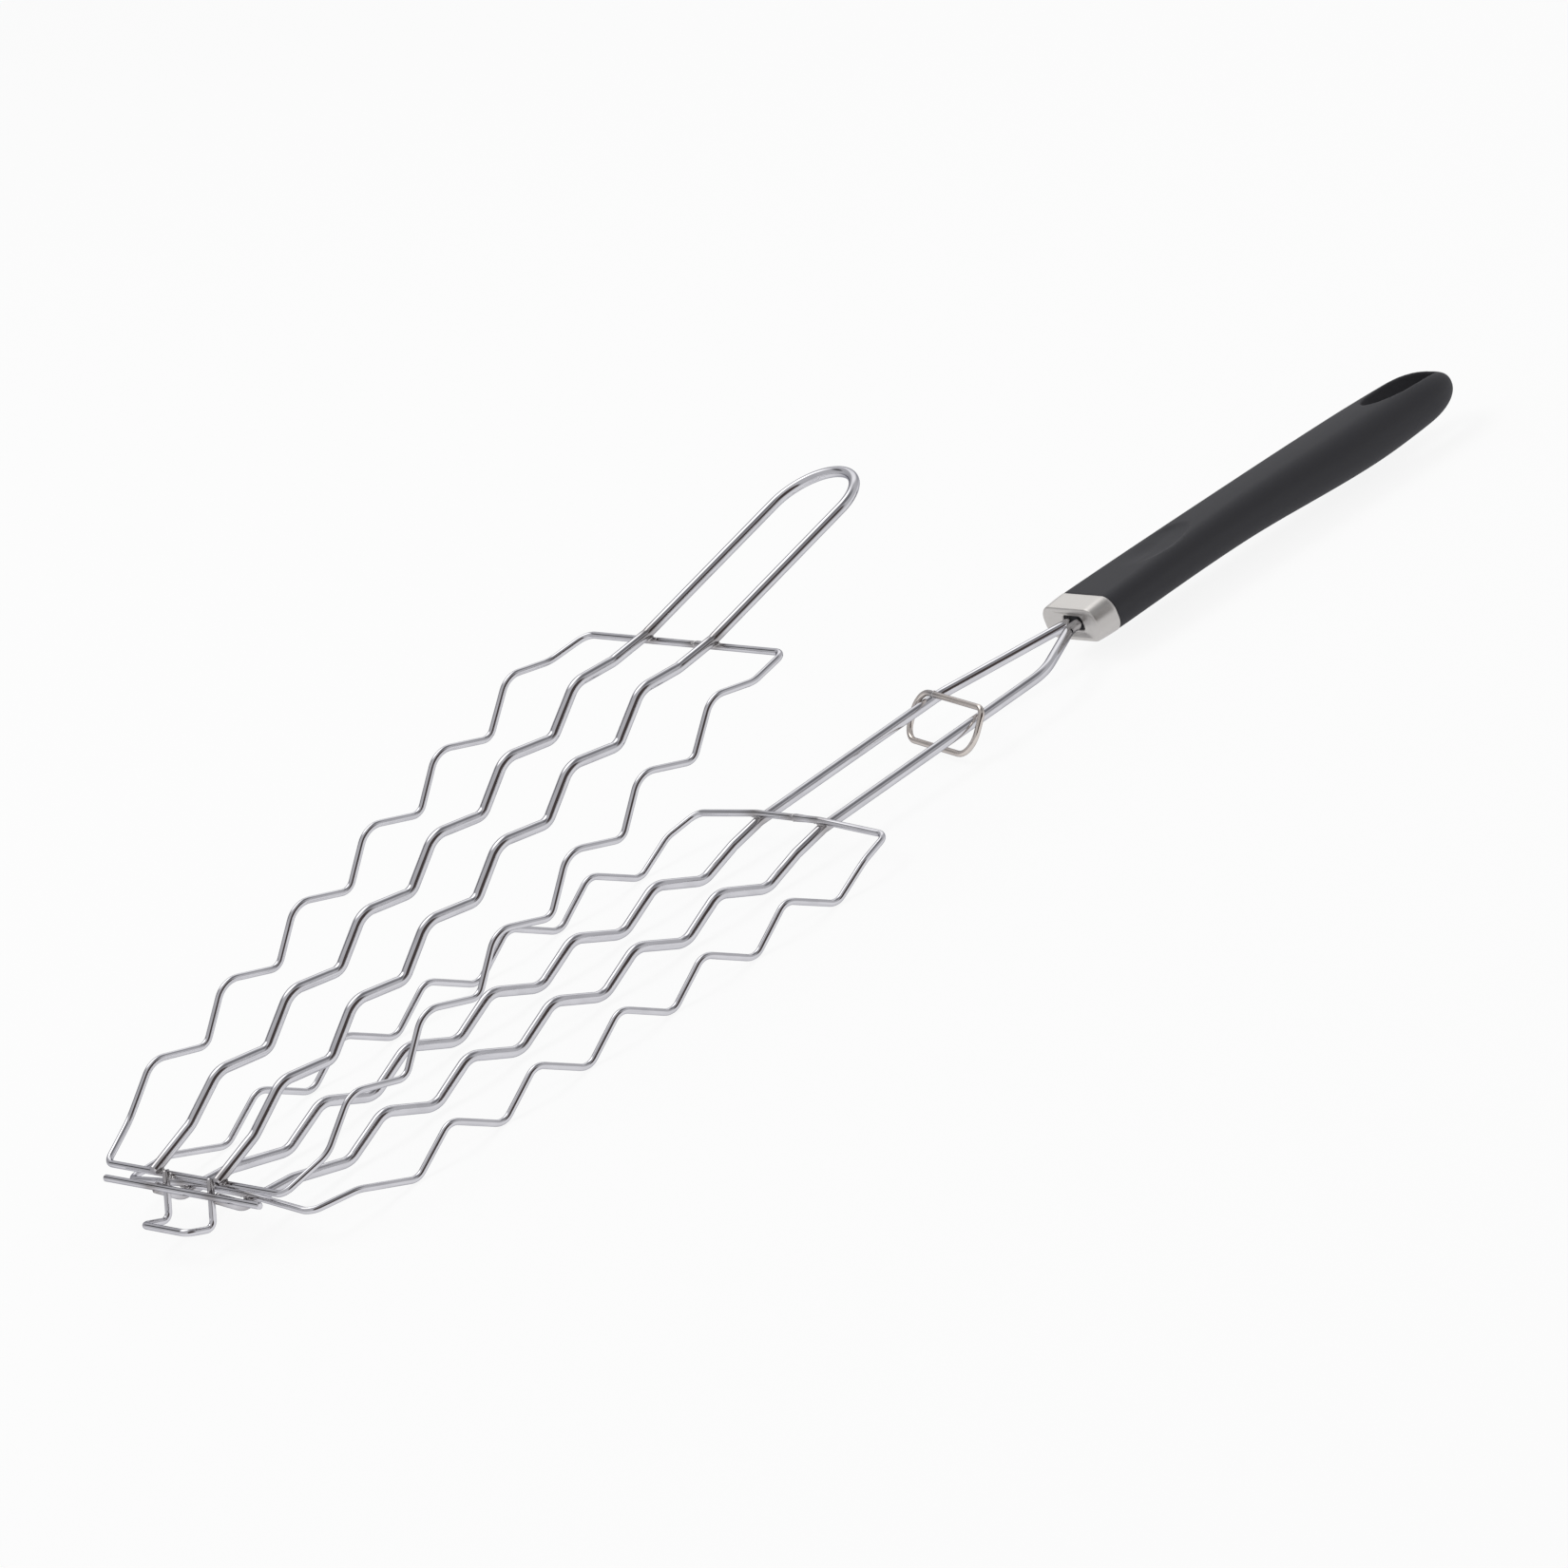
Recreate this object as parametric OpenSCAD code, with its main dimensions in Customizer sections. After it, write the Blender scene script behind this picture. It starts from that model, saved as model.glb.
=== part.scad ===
// Sausage grilling basket: two wavy wire grids on a hinge, a long rod stem, a locking ring and a grip.
// Millimetres, +Z up, +X toward the grip. The lid stands open as photographed.

/* [Wire] */
// Diameter of the thin wire of both grid frames
frame_wire_d = 2.5; // [1.5:0.1:4]
// Diameter of the thick long rods
rod_d = 4; // [3:0.1:6]
// Depth that welded wires sink into each other
weld_bite = 0.1; // [0.05:0.05:0.3]
// Diameter of a weld bead between crossing wires
bead_d = 3; // [2:0.1:4]
// Flat sides on a bent wire's round section
wire_sides = 12; // [8:1:16]
// Straight chords in each bend of a wire
bend_chords = 3; // [2:1:5]

/* [Grid] */
// Troughs that hold the sausages
trough_count = 6; // [2:1:8]
// Distance from one trough to the next
trough_pitch = 39.5; // [30:0.5:50]
// Depth of the side wires' troughs below the ends of the cross bars
trough_depth = 9.8; // [6:0.2:16]
// Depth of the rods' troughs below the line of the rods at the cross bars
rod_trough_depth = 7.2; // [4:0.2:12]
// Share of the pitch from a trough to the next crest
crest_share = 0.5; // [0.4:0.01:0.6]
// First trough of the base, from its hinge-end cross bar
base_first_trough = 42; // [34:0.5:48]
// First trough of the lid, from its hinge-end cross bar
lid_first_trough = 39; // [34:0.5:48]
// Distance from the hinge-end cross bar to the first knee
front_knee_x = 19; // [12:0.5:24]
// Drop of the first knee
front_knee_drop = 1.5; // [0.5:0.1:4]
// Distance from the last trough to the last knee
rear_knee_x = 17; // [12:0.5:24]
// Drop of the last knee
rear_knee_drop = 2.6; // [0.5:0.1:5]
// Distance from the base's last trough to its handle-end cross bar
base_rear_bar_x = 31; // [28:0.5:48]
// Distance from the lid's last trough to its handle-end cross bar
lid_rear_bar_x = 34.5; // [28:0.5:48]
// Width between the centre lines of the base's side wires
base_grid_width = 115; // [90:1:160]
// Width between the centre lines of the lid's side wires
lid_grid_width = 120; // [90:1:160]
// Width of the base's hinge-end cross bar
base_front_bar_width = 110; // [80:1:140]
// Width of the lid's hinge-end cross bar
lid_front_bar_width = 107; // [80:1:140]
// Width of the base's handle-end cross bar
base_rear_bar_width = 110; // [80:1:150]
// Width of the lid's handle-end cross bar
lid_rear_bar_width = 115; // [80:1:150]
// Rise of the base's cross bars to where they cross the rods
bar_bow = 2.8; // [0:0.1:4]
// Bend radius of a bowed cross bar
bow_bend_r = 15; // [5:1:30]
// Bend radius of the base side wires' waves
wave_bend_r = 6.5; // [3:0.5:8]
// Bend radius of the base rods' waves
rod_bend_r = 9; // [4:0.5:10]
// Bend radius of the lid side wires' troughs, which are rounder than their crests
lid_trough_r = 10; // [5:0.5:11]
// Bend radius of the lid side wires' crests
lid_crest_r = 5.5; // [3:0.5:8]
// Bend radius of the lid rods' troughs, which are rounder than their crests
lid_rod_trough_r = 11; // [5:0.5:12]
// Bend radius of the lid rods' crests
lid_rod_crest_r = 6.5; // [4:0.5:9]
// Bend radius of the gentle knees at both ends of the waves
knee_bend_r = 15; // [5:1:20]
// Bend radius of the frame's corners
corner_bend_r = 5; // [3:0.5:10]
// Spacing of the base's two rods
base_rod_spacing = 37; // [30:0.5:50]
// Spacing of the lid's two rods
lid_rod_spacing = 38.5; // [34:0.5:56]
// Gap between the ends of a frame wire at its butt joint
butt_gap = 0.2; // [0.1:0.1:0.6]
// Butt joint from the middle of the base's handle-end cross bar
base_butt_offset = 4; // [0:0.5:12]
// Butt joint from the middle of the lid's handle-end cross bar
lid_butt_offset = 7; // [0:0.5:12]

/* [Hinge] */
// Hinge bar behind the base's hinge-end cross bar
hinge_back = 12.5; // [10:0.5:18]
// Hinge bar above the base's cross bars
hinge_height = 8.5; // [7:0.5:14]
// Length of the hinge bar
hinge_bar_length = 94; // [60:1:108]
// Diameter of the hinge bar
hinge_bar_d = 2.5; // [2:0.1:3.5]
// Straight run of a base rod past the cross bar, before it rises
rise_lead = 3; // [2:0.5:5]
// Bend radius where a base rod rises to the hinge bar
rise_bend_r = 5; // [3:0.5:8]
// Lid's hinge-end cross bar from the hinge bar
lid_reach = 6.45; // [6:0.05:8]
// Lid rod left over past its hinge-end cross bar
lid_rod_overrun = 2.5; // [1:0.1:2.5]
// Opening angle of the lid as photographed
lid_open = 14.9; // [0:0.5:60]
// Diameter of the hook's wire
hook_wire_d = 2.5; // [2:0.1:3]
// Width between the hook's two legs
hook_width = 27; // [20:0.5:32]
// Hook leg past the hinge bar, down to the foot
hook_drop = 11.7; // [9:0.1:12]
// Length of the hook's foot
hook_foot = 10.9; // [8:0.1:12]
// Hook leg left over past the lid's cross bar
hook_overrun = 2; // [1:0.1:3]
// Running clearance between hook leg and hinge bar
hook_clearance = 0.35; // [0.2:0.05:0.6]
// Bend radius of the hook
hook_bend_r = 3; // [2:0.5:4]

/* [Stem and loop] */
// Rise of the stem over the grid's plane
stem_angle = 1.9; // [0:0.1:6]
// Where the stem's left rod starts to close in, from the cross bar
left_taper_start = 91.5; // [85:0.5:92.5]
// Angle at which the left rod closes in
left_taper_angle = 14.4; // [14:0.1:17]
// Where the stem's right rod starts to close in, from the cross bar
right_taper_start = 113.2; // [100:0.2:114]
// Angle at which the right rod closes in
right_taper_angle = 31.5; // [31:0.5:40]
// Grip and ferrule to the left of the grid's middle
neck_side = 2.1; // [1.8:0.1:4]
// Bend radius where the rods turn in
stem_outer_bend_r = 25; // [10:1:30]
// Bend radius where the rods straighten again
stem_inner_bend_r = 10; // [6:1:14]
// Spacing of the rods inside the grip
neck_spacing = 5.2; // [4.8:0.1:7]
// Straight part of the lid's loop
loop_length = 71.5; // [50:1:85]
// Slope of the lid's loop toward the base
loop_angle = 1.8; // [0:0.1:3]
// Chords in the round end of the loop
loop_chords = 14; // [8:1:24]

/* [Locking ring] */
// Diameter of the ring's wire
ring_wire_d = 2.3; // [1.8:0.1:3]
// Width between the ring's side wires
ring_width = 47; // [46:0.5:56]
// Height between the ring's bars
ring_height = 18; // [17:0.2:24]
// Bend radius of the ring's upper right corner
ring_top_right_r = 3.5; // [2.5:0.5:6]
// Bend radius of the ring's upper left corner
ring_top_left_r = 8; // [3:0.5:9]
// Bend radius of the ring's lower right corner
ring_bottom_right_r = 9.5; // [3:0.5:10]
// Bend radius of the ring's lower left corner
ring_bottom_left_r = 6; // [3:0.5:8]
// Lean of the ring from the stem
ring_lean = 50; // [40:0.5:60]
// Turn of the ring across the stem, as it lies
ring_turn = 10; // [0:1:12]
// Ring from the handle-end cross bar, as photographed
ring_place = 77; // [60:1:90]
// Height of the ring over the rods, for its round corners
ring_clearance = 1.5; // [1.4:0.05:2]
// Ring's butt joint from the middle of its upper bar
ring_butt_offset = 12; // [0:0.5:13]
// Diameter of the bead at the ring's butt joint
ring_bead_d = 3; // [2.6:0.1:3.4]

/* [Ferrule] */
// Front face of the ferrule from the handle-end cross bar
ferrule_place = 145.7; // [145.5:0.1:152]
// Length of the ferrule
ferrule_length = 10; // [9:0.5:16]
// Width of the ferrule's front
ferrule_front_width = 31; // [28:0.5:32]
// Height of the ferrule's front
ferrule_front_height = 13.4; // [12.5:0.1:14]
// Wall of the ferrule
ferrule_wall = 0.8; // [0.6:0.1:1.2]
// Depth of the dish in the ferrule's front
ferrule_dish = 1.2; // [0.5:0.1:2]
// Rounding of the ferrule's front edge
ferrule_rim = 0.8; // [0.4:0.1:1.2]
// Width of the flat rim around the dish
ferrule_land = 0.5; // [0.2:0.1:1]
// Width of the hole for the rods
ferrule_hole_width = 10.6; // [10.2:0.2:15]
// Height of the hole for the rods
ferrule_hole_height = 5.6; // [5:0.2:8]
// Corner radius of the hole for the rods
ferrule_hole_r = 1.5; // [0.5:0.1:2.4]
// Flare around the hole for the rods
ferrule_flare = 1; // [0.5:0.1:1.5]
// Clearance between the ferrule and the grip's nose
nose_clearance = 0.1; // [0.05:0.05:0.3]

/* [Grip] */
// Width of the grip at the ferrule
grip_front_width = 32; // [31:0.5:38]
// Height of the grip at the ferrule
grip_front_height = 14.3; // [13.5:0.1:20]
// Waist from the grip's front
waist_place = 70; // [55:1:85]
// Width of the waist
waist_width = 27.6; // [24:0.5:33]
// Height of the waist
waist_height = 17.1; // [15:0.5:21]
// Belly from the grip's front
belly_place = 139; // [100:1:145]
// Width of the belly
belly_width = 30.7; // [26:0.5:35]
// Height of the belly
belly_height = 20.2; // [17:0.2:24]
// Length of the grip
grip_length = 189; // [170:1:200]
// Width just before the rounded tip
tip_width = 26; // [20:0.5:30]
// Height just before the rounded tip
tip_height = 16.4; // [12:0.5:20]
// Length of the rounded tip
tip_round = 22; // [12:1:35]
// Drop of the grip's middle line at the waist
waist_drop = 1; // [0:0.2:4]
// Drop of the grip's middle line at the belly
belly_drop = 4.4; // [0:0.2:8]
// Drop of the grip's middle line at the tip
tip_drop = 5.2; // [0:0.2:12]
// Corner radius of the grip as a share of its height
grip_corner_share = 0.42; // [0.3:0.01:0.47]
// Length of the hanging slot
slot_length = 36; // [20:0.5:38]
// Width of the hanging slot
slot_width = 14; // [6:0.5:15]
// Middle of the hanging slot from the tip
slot_place = 22; // [21.5:0.5:40]
// Thumb dimple from the grip's front
dimple_place = 37; // [30:1:60]
// Length of the thumb dimple
dimple_length = 32; // [20:1:40]
// Width of the thumb dimple
dimple_width = 15; // [10:0.5:20]
// Depth of the thumb dimple
dimple_depth = 1.4; // [0.5:0.1:2.5]
// Rod held inside the grip, from the ferrule's front face
rod_insert = 54; // [40:1:60]
// Clearance of the rods in the grip
rod_clearance = 0.05; // [0.02:0.01:0.1]
// Clearance past the ends of the rods
rod_end_clearance = 0.5; // [0.2:0.1:2]

/* [Hidden] */
$fn = 48;

steel = "lightsteelblue";
bead_steel = "silver";
ring_steel = "tan";
grip_black = "dimgray";
eps = 0.01;

// Wires cross at this distance between their middle lines
rod_offset = (frame_wire_d + rod_d) / 2 - weld_bite;
base_last_trough = base_first_trough + trough_pitch * (trough_count - 1);
lid_last_trough = lid_first_trough + trough_pitch * (trough_count - 1);
base_rear_bar = base_last_trough + base_rear_bar_x;
lid_rear_bar = lid_last_trough + lid_rear_bar_x;
front_slope = atan2(front_knee_drop, front_knee_x);
// The base's rods pass under its bowed cross bars
rod_drop = rod_offset - bar_bow;

// Middle line of the hinge bar, as X and Z
hinge = [-hinge_back, hinge_height];
// Corner where a base rod leaves the grid's plane
rise_corner = [-rise_lead * cos(front_slope), rise_lead * sin(front_slope) - rod_drop];
rise_angle = atan2(hinge.y - rise_corner.y, rise_corner.x - hinge.x);
// The rod's end butts into the hinge bar from the grid's side
rise_run = norm(hinge - rise_corner) - hinge_bar_d / 2 + weld_bite;

// Hook, in the lid's own frame around the hinge bar
hook_gap = (hook_wire_d + hinge_bar_d) / 2 + hook_clearance;
hook_bar_gap = (hook_wire_d + frame_wire_d) / 2 - weld_bite;
hook_lean = acos((hook_gap + hook_bar_gap) / lid_reach);
hook_rise = lid_reach * sin(hook_lean) + hook_overrun;

// Stem's rods: corners in the stem's own frame
neck_gap = (base_rod_spacing - neck_spacing) / 2;
left_neck_start = left_taper_start + (neck_gap - neck_side) / tan(left_taper_angle);
right_neck_start = right_taper_start + (neck_gap + neck_side) / tan(right_taper_angle);
rod_end = ferrule_place + rod_insert;
ring_lift = (rod_d + ring_wire_d) / 2 + ring_clearance;

grip_place = ferrule_place + ferrule_length;
grip_end = grip_place + grip_length;
nose_front = ferrule_place + ferrule_dish + ferrule_wall + nose_clearance;

// The origin is under the middle of the whole piece, on the ground
ground = -max(trough_depth + frame_wire_d / 2, rod_trough_depth + rod_drop + rod_d / 2);
tip_x = base_rear_bar + grip_end * cos(stem_angle) + tip_drop * sin(stem_angle);
hook_tip = (hook_gap - hook_foot) * cos(lid_open - hook_lean) + hook_drop * sin(lid_open - hook_lean);
tail_x = hinge.x + hook_tip - hook_wire_d / 2;
origin_shift = [-(tip_x + tail_x) / 2, 0, -ground];

function unit(v) = v / norm(v);
function turn(a, b, c) = acos(min(1, unit(b - a) * unit(c - b)));

// Points of the round bend of radius r at corner b, or b alone where the path runs straight on
function bend(a, b, c, r, chords) =
    turn(a, b, c) < 0.01 ? [b]
    : let(
        along = unit(b - a),
        next = unit(c - b),
        angle = turn(a, b, c),
        side = unit(next - along * (next * along)),
        centre = b - along * r * tan(angle / 2) + side * r
    )
    [for (k = [0 : chords]) let(f = angle * k / chords) centre - side * r * cos(f) + along * r * sin(f)];

// Path with its corners rounded: one radius for each corner between the ends
function rounded(path, radii, chords) = [
    path[0],
    for (i = [1 : len(path) - 2]) each bend(path[i - 1], path[i], path[i + 1], radii[i - 1], chords),
    path[len(path) - 1]
];

// Direction of an open route at each of its points
function headings(route) = [
    for (i = [0 : len(route) - 1])
        let(before = route[max(i - 1, 0)], after = route[min(i + 1, len(route) - 1)], here = route[i])
        i == 0 || i == len(route) - 1 ? unit(after - before) : unit(unit(here - before) + unit(after - here))
];

// Sideways vector carried from one heading to the next without twist
function carried(side, from, to) = side - (from + to) * ((to * side) / (1 + from * to));
function sideways(heading) =
    let(up = abs(heading.z) < 0.8 ? [0, 0, 1] : [1, 0, 0])
    unit(cross(up, heading));
function sides(h) = [
    for (i = 0, s = sideways(h[0]); i < len(h); s = carried(s, h[i], h[min(i + 1, len(h) - 1)]), i = i + 1) s
];

// Circle of points around each point of a route
function circles(route, d, h) =
    let(s = sides(h))
    [for (i = [0 : len(route) - 1])
        let(t = cross(h[i], s[i]))
        [for (k = [0 : wire_sides - 1])
            let(a = 360 * k / wire_sides)
            route[i] + (s[i] * cos(a) + t * sin(a)) * d / 2]];

// Solid through rings of points, capped at its ends or closed on itself
module skin(rings, looped = false) {
    n = len(rings[0]);
    m = len(rings);
    walls = [
        for (i = [0 : m - (looped ? 1 : 2)], j = [0 : n - 1])
            let(a = i * n, b = (i + 1) % m * n, k = (j + 1) % n)
            each [[a + j, b + k, a + k], [a + j, b + j, b + k]]
    ];
    caps = looped ? [] : [[for (j = [0 : n - 1]) j], [for (j = [n - 1 : -1 : 0]) (m - 1) * n + j]];
    polyhedron(points = [for (ring = rings) each ring], faces = concat(walls, caps));
}

// Bent wire along a path
module wire(path, d, radii, chords = bend_chords) {
    route = rounded(path, radii, chords);
    skin(circles(route, d, headings(route)));
}

// Bead of a weld
module bead(place) {
    translate(place)
        sphere(d = bead_d);
}

// Knees, troughs and crests of a wire between its cross bars, as X and Z
function waves(first, depth, radii) =
    let(
        last = first + trough_pitch * (trough_count - 1),
        slope = wave_slope(trough_pitch / 2, depth, radii[0] + radii[1]),
        past = corner_past(slope, slope),
        front = corner_past(slope, atan2(depth - front_knee_drop, first - front_knee_x)),
        rear = corner_past(slope, atan2(depth - rear_knee_drop, rear_knee_x))
    )
    [
        [front_knee_x, -front_knee_drop],
        for (i = [0 : trough_count - 1]) each [
            [
                first + trough_pitch * i,
                -depth - radii[0] * (i == 0 ? front : i == trough_count - 1 ? rear : past)
            ],
            if (i < trough_count - 1) [first + trough_pitch * (i + crest_share), radii[1] * past]
        ],
        [last + rear_knee_x, -rear_knee_drop]
    ];
// Slope between a trough and a crest, so that the round bends reach the full depth. both is the
// sum of their two bend radii.
function wave_slope(run, depth, both) =
    atan2(run, both - depth) - acos(min(1, both / norm([run, both - depth])));
// How far past a bend its corner lies, as a share of the radius, with sides that slope by a and b
function corner_past(a, b) = cos((a - b) / 2) / cos((a + b) / 2) - 1;
// Bend radii at the corners of waves(), which has trough and crest radii in radii
function wave_bends(radii) = [
    knee_bend_r,
    for (i = [0 : trough_count - 1]) each [radii[0], if (i < trough_count - 1) radii[1]],
    knee_bend_r
];
function at_y(points, y, lift = 0, flip = 1) = [for (p = points) [p.x, y, flip * p.y + lift]];
function backward(list) = [for (i = [len(list) - 1 : -1 : 0]) list[i]];
function same(value, count) = [for (i = [1 : count]) value];

// Outer frame of a grid in one wire, open at its butt joint. widths are its front bar's, its
// sides' and its rear bar's, and bows say how high the bars rise between the rods.
module frame_wire(line, line_bends, end, widths, bow, spacing, butt) {
    mid = spacing / 2;
    path = [
        [end, -butt - butt_gap / 2, bow],
        [end, -mid, bow],
        [end, -widths[2] / 2, 0],
        each backward(at_y(line, -widths[1] / 2)),
        [0, -widths[0] / 2, 0],
        [0, -mid, bow],
        [0, mid, bow],
        [0, widths[0] / 2, 0],
        each at_y(line, widths[1] / 2),
        [end, widths[2] / 2, 0],
        [end, mid, bow],
        [end, -butt + butt_gap / 2, bow]
    ];
    bends = concat([bow_bend_r, corner_bend_r], line_bends, [corner_bend_r, bow_bend_r]);
    wire(path, frame_wire_d, concat(bends, bends));
}

// Point of the stem: distance from the cross bar, sideways, above its rods
function on_stem(d, y, lift) = [
    base_rear_bar + d * cos(stem_angle) - lift * sin(stem_angle),
    y,
    d * sin(stem_angle) + lift * cos(stem_angle) - rod_drop
];

// Moves its children from the stem's own frame to the base's
module stem_frame() {
    translate([base_rear_bar, 0, -rod_drop])
        rotate([0, -stem_angle, 0])
            children();
}

// Moves its children from the middle of the grip and ferrule to the base's frame
module grip_frame() {
    stem_frame()
        translate([0, neck_side, 0])
            children();
}

// Long rod of the base: hinge end, waves, stem and the end inside the grip
module base_rod(side) {
    radii = [rod_bend_r, rod_bend_r];
    line = waves(base_first_trough, rod_trough_depth, radii);
    y = side * base_rod_spacing / 2;
    taper_start = side > 0 ? left_taper_start : right_taper_start;
    neck_start = side > 0 ? left_neck_start : right_neck_start;
    neck = neck_side + side * neck_spacing / 2;
    path = [
        [rise_corner.x - rise_run * cos(rise_angle), y, rise_corner.y + rise_run * sin(rise_angle)],
        [rise_corner.x, y, rise_corner.y],
        each at_y(line, y, -rod_drop),
        on_stem(0, y, 0),
        on_stem(taper_start, y, 0),
        on_stem(neck_start, neck, 0),
        on_stem(rod_end, neck, 0)
    ];
    bends = [knee_bend_r, stem_outer_bend_r, stem_inner_bend_r];
    wire(path, rod_d, concat([rise_bend_r], wave_bends(radii), bends));
}

// Both rods of the lid in one wire, joined by the round loop
module lid_rods() {
    radii = [lid_rod_trough_r, lid_rod_crest_r];
    line = waves(lid_first_trough, rod_trough_depth, radii);
    half = lid_rod_spacing / 2;
    start = [-lid_rod_overrun * cos(front_slope), rod_offset - lid_rod_overrun * sin(front_slope)];
    arc = [
        for (k = [0 : loop_chords])
            let(a = 90 - 180 * k / loop_chords)
            loop_point(loop_length + half * cos(a), half * sin(a))
    ];
    side = rounded(
        [[start.x, half, start.y], each at_y(line, half, rod_offset, -1), loop_point(0, half), arc[0]],
        concat(wave_bends(radii), [knee_bend_r]),
        bend_chords
    );
    route = [
        for (i = [0 : len(side) - 2]) side[i],
        each arc,
        for (i = [len(side) - 2 : -1 : 0]) flat(side[i])
    ];
    skin(circles(route, rod_d, headings(route)));
}
function loop_point(d, y) = [lid_rear_bar + d * cos(loop_angle), y, rod_offset - d * sin(loop_angle)];
function flat(p) = [p.x, -p.y, p.z];

// Moves its children from the lid's own frame to the opened lid
module lid_frame() {
    translate([hinge.x, 0, hinge.y])
        rotate([0, -lid_open, 0])
            translate([lid_reach, 0, 0])
                children();
}

// Point of the hook: across the leg from the hinge bar, sideways, down the leg
function on_hook(across, y, down) = [
    across * cos(hook_lean) - down * sin(hook_lean) - lid_reach,
    y,
    -across * sin(hook_lean) - down * cos(hook_lean)
];

// Section of the grip or ferrule: rounded rectangle in the stem's frame
section_corner_points = 9;
function section(d, width, height, r, drop) = [
    for (q = [0 : 3], k = [0 : section_corner_points - 1])
        let(
            a = 90 * (q + k / (section_corner_points - 1)),
            sx = q == 0 || q == 3 ? 1 : -1,
            sy = q < 2 ? 1 : -1
        )
        [d, sx * (width / 2 - r) + r * cos(a), sy * (height / 2 - r) + r * sin(a) - drop]
];
function grip_section(d, width, height, drop) = section(d, width, height, height * grip_corner_share, drop);

// Stations along the grip: place, width, height, drop of the middle line
stations = [
    [0, grip_front_width, grip_front_height, 0],
    [waist_place, waist_width, waist_height, waist_drop],
    [belly_place, belly_width, belly_height, belly_drop],
    [grip_length, tip_width, tip_height, tip_drop]
];
function slope_at(i, k) =
    i == 0 ? (stations[1][k] - stations[0][k]) / stations[1][0] / 2
    : i == len(stations) - 1 ? (stations[i][k] - stations[i - 1][k]) / (stations[i][0] - stations[i - 1][0])
    : (stations[i + 1][k] - stations[i - 1][k]) / (stations[i + 1][0] - stations[i - 1][0]);
// Value k of the stations at distance x, by smooth cubic pieces
function station_value(x, k) =
    let(
        i = x < stations[1][0] ? 0 : x < stations[2][0] ? 1 : 2,
        span = stations[i + 1][0] - stations[i][0],
        t = (x - stations[i][0]) / span,
        p = stations[i][k],
        q = stations[i + 1][k],
        s = t * t * (3 - 2 * t)
    )
    p + (q - p) * s + span * t * (1 - t) * (slope_at(i, k) * (1 - t) - slope_at(i + 1, k) * t);
// Shrink of the sections over the rounded tip
tip_fullness = 2.4;
least_share = 0.045;
function tip_share(x) =
    let(t = max(0, (x - grip_length + tip_round) / tip_round))
    max(least_share, sqrt(max(0, 1 - pow(t, tip_fullness))));
function grip_ring(x) =
    let(share = tip_share(x), height = station_value(x, 2) * share)
    dimpled(grip_section(
        grip_place + x, station_value(x, 1) * share, height, station_value(x, 3)
    ), x, height);
// Lowers the points of a section that lie in the thumb dimple
function dimpled(ring, x, height) = [
    for (p = ring)
        let(
            reach = norm([(x - dimple_place) / dimple_length, p.y / dimple_width]) * 2,
            dip = p.z > 0 && reach < 1 ? dimple_depth * pow(cos(90 * reach), 2) : 0
        )
        [p.x, p.y, p.z - dip]
];
grip_step = 4;
grip_steps = floor((grip_length - tip_round) / grip_step);
tip_steps = 12;
tip_crowding = 1.5;

module grip_body() {
    nose_width = grip_front_width - 2 * (ferrule_wall + nose_clearance);
    nose_height = grip_front_height - 2 * (ferrule_wall + nose_clearance);
    front_cut = 2 * (ferrule_wall + nose_clearance);
    skin([
        grip_section(nose_front, ferrule_front_width - front_cut, ferrule_front_height - front_cut, 0),
        grip_section(grip_place, nose_width, nose_height, 0),
        for (i = [0 : grip_steps]) grip_ring(i * grip_step),
        for (i = [1 : tip_steps]) grip_ring(grip_length - tip_round * pow(1 - i / tip_steps, tip_crowding))
    ]);
}

// Oval outline of the hanging slot
slot_sides = 36;
function slot_points() = [
    for (k = [0 : slot_sides - 1])
        let(a = 360 * k / slot_sides)
        [slot_length / 2 * cos(a), slot_width / 2 * sin(a)]
];

module base_left_rod() {
    color(steel) translate(origin_shift) base_rod(1);
}

module base_right_rod() {
    color(steel) translate(origin_shift) base_rod(-1);
}

module base_frame_wire() {
    widths = [base_front_bar_width, base_grid_width, base_rear_bar_width];
    radii = [wave_bend_r, wave_bend_r];
    line = waves(base_first_trough, trough_depth, radii);
    bends = wave_bends(radii);
    color(steel)
        translate(origin_shift)
            frame_wire(line, bends, base_rear_bar, widths, bar_bow, base_rod_spacing, base_butt_offset);
}

module base_butt_weld() {
    color(bead_steel) translate(origin_shift) bead([base_rear_bar, -base_butt_offset, bar_bow]);
}

// Welds where the rods pass under the cross bars
module base_weld(x, side) {
    color(bead_steel)
        translate(origin_shift)
            bead([x, side * base_rod_spacing / 2, bar_bow - frame_wire_d / 2]);
}

module base_front_left_weld() {
    base_weld(0, 1);
}

module base_front_right_weld() {
    base_weld(0, -1);
}

module base_rear_left_weld() {
    base_weld(base_rear_bar, 1);
}

module base_rear_right_weld() {
    base_weld(base_rear_bar, -1);
}

// Hinge bar with its rounded ends
module hinge_bar() {
    r = hinge_bar_d / 2;
    straight = hinge_bar_length / 2 - r;
    profile = [
        [0, -straight - r],
        for (k = [1 : 5]) [r * sin(90 * k / 6), -straight - r * cos(90 * k / 6)],
        [r, -straight],
        [r, straight],
        for (k = [5 : -1 : 1]) [r * sin(90 * k / 6), straight + r * cos(90 * k / 6)],
        [0, straight + r]
    ];
    color(steel)
        translate(origin_shift + [hinge.x, 0, hinge.y])
            rotate([90, 0, 0])
                rotate_extrude()
                    polygon(profile);
}

module hinge_bar_weld(side) {
    r = hinge_bar_d / 2;
    color(bead_steel)
        translate(origin_shift)
            bead([
                hinge.x + r * cos(rise_angle),
                side * base_rod_spacing / 2,
                hinge.y - r * sin(rise_angle)
            ]);
}

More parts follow.
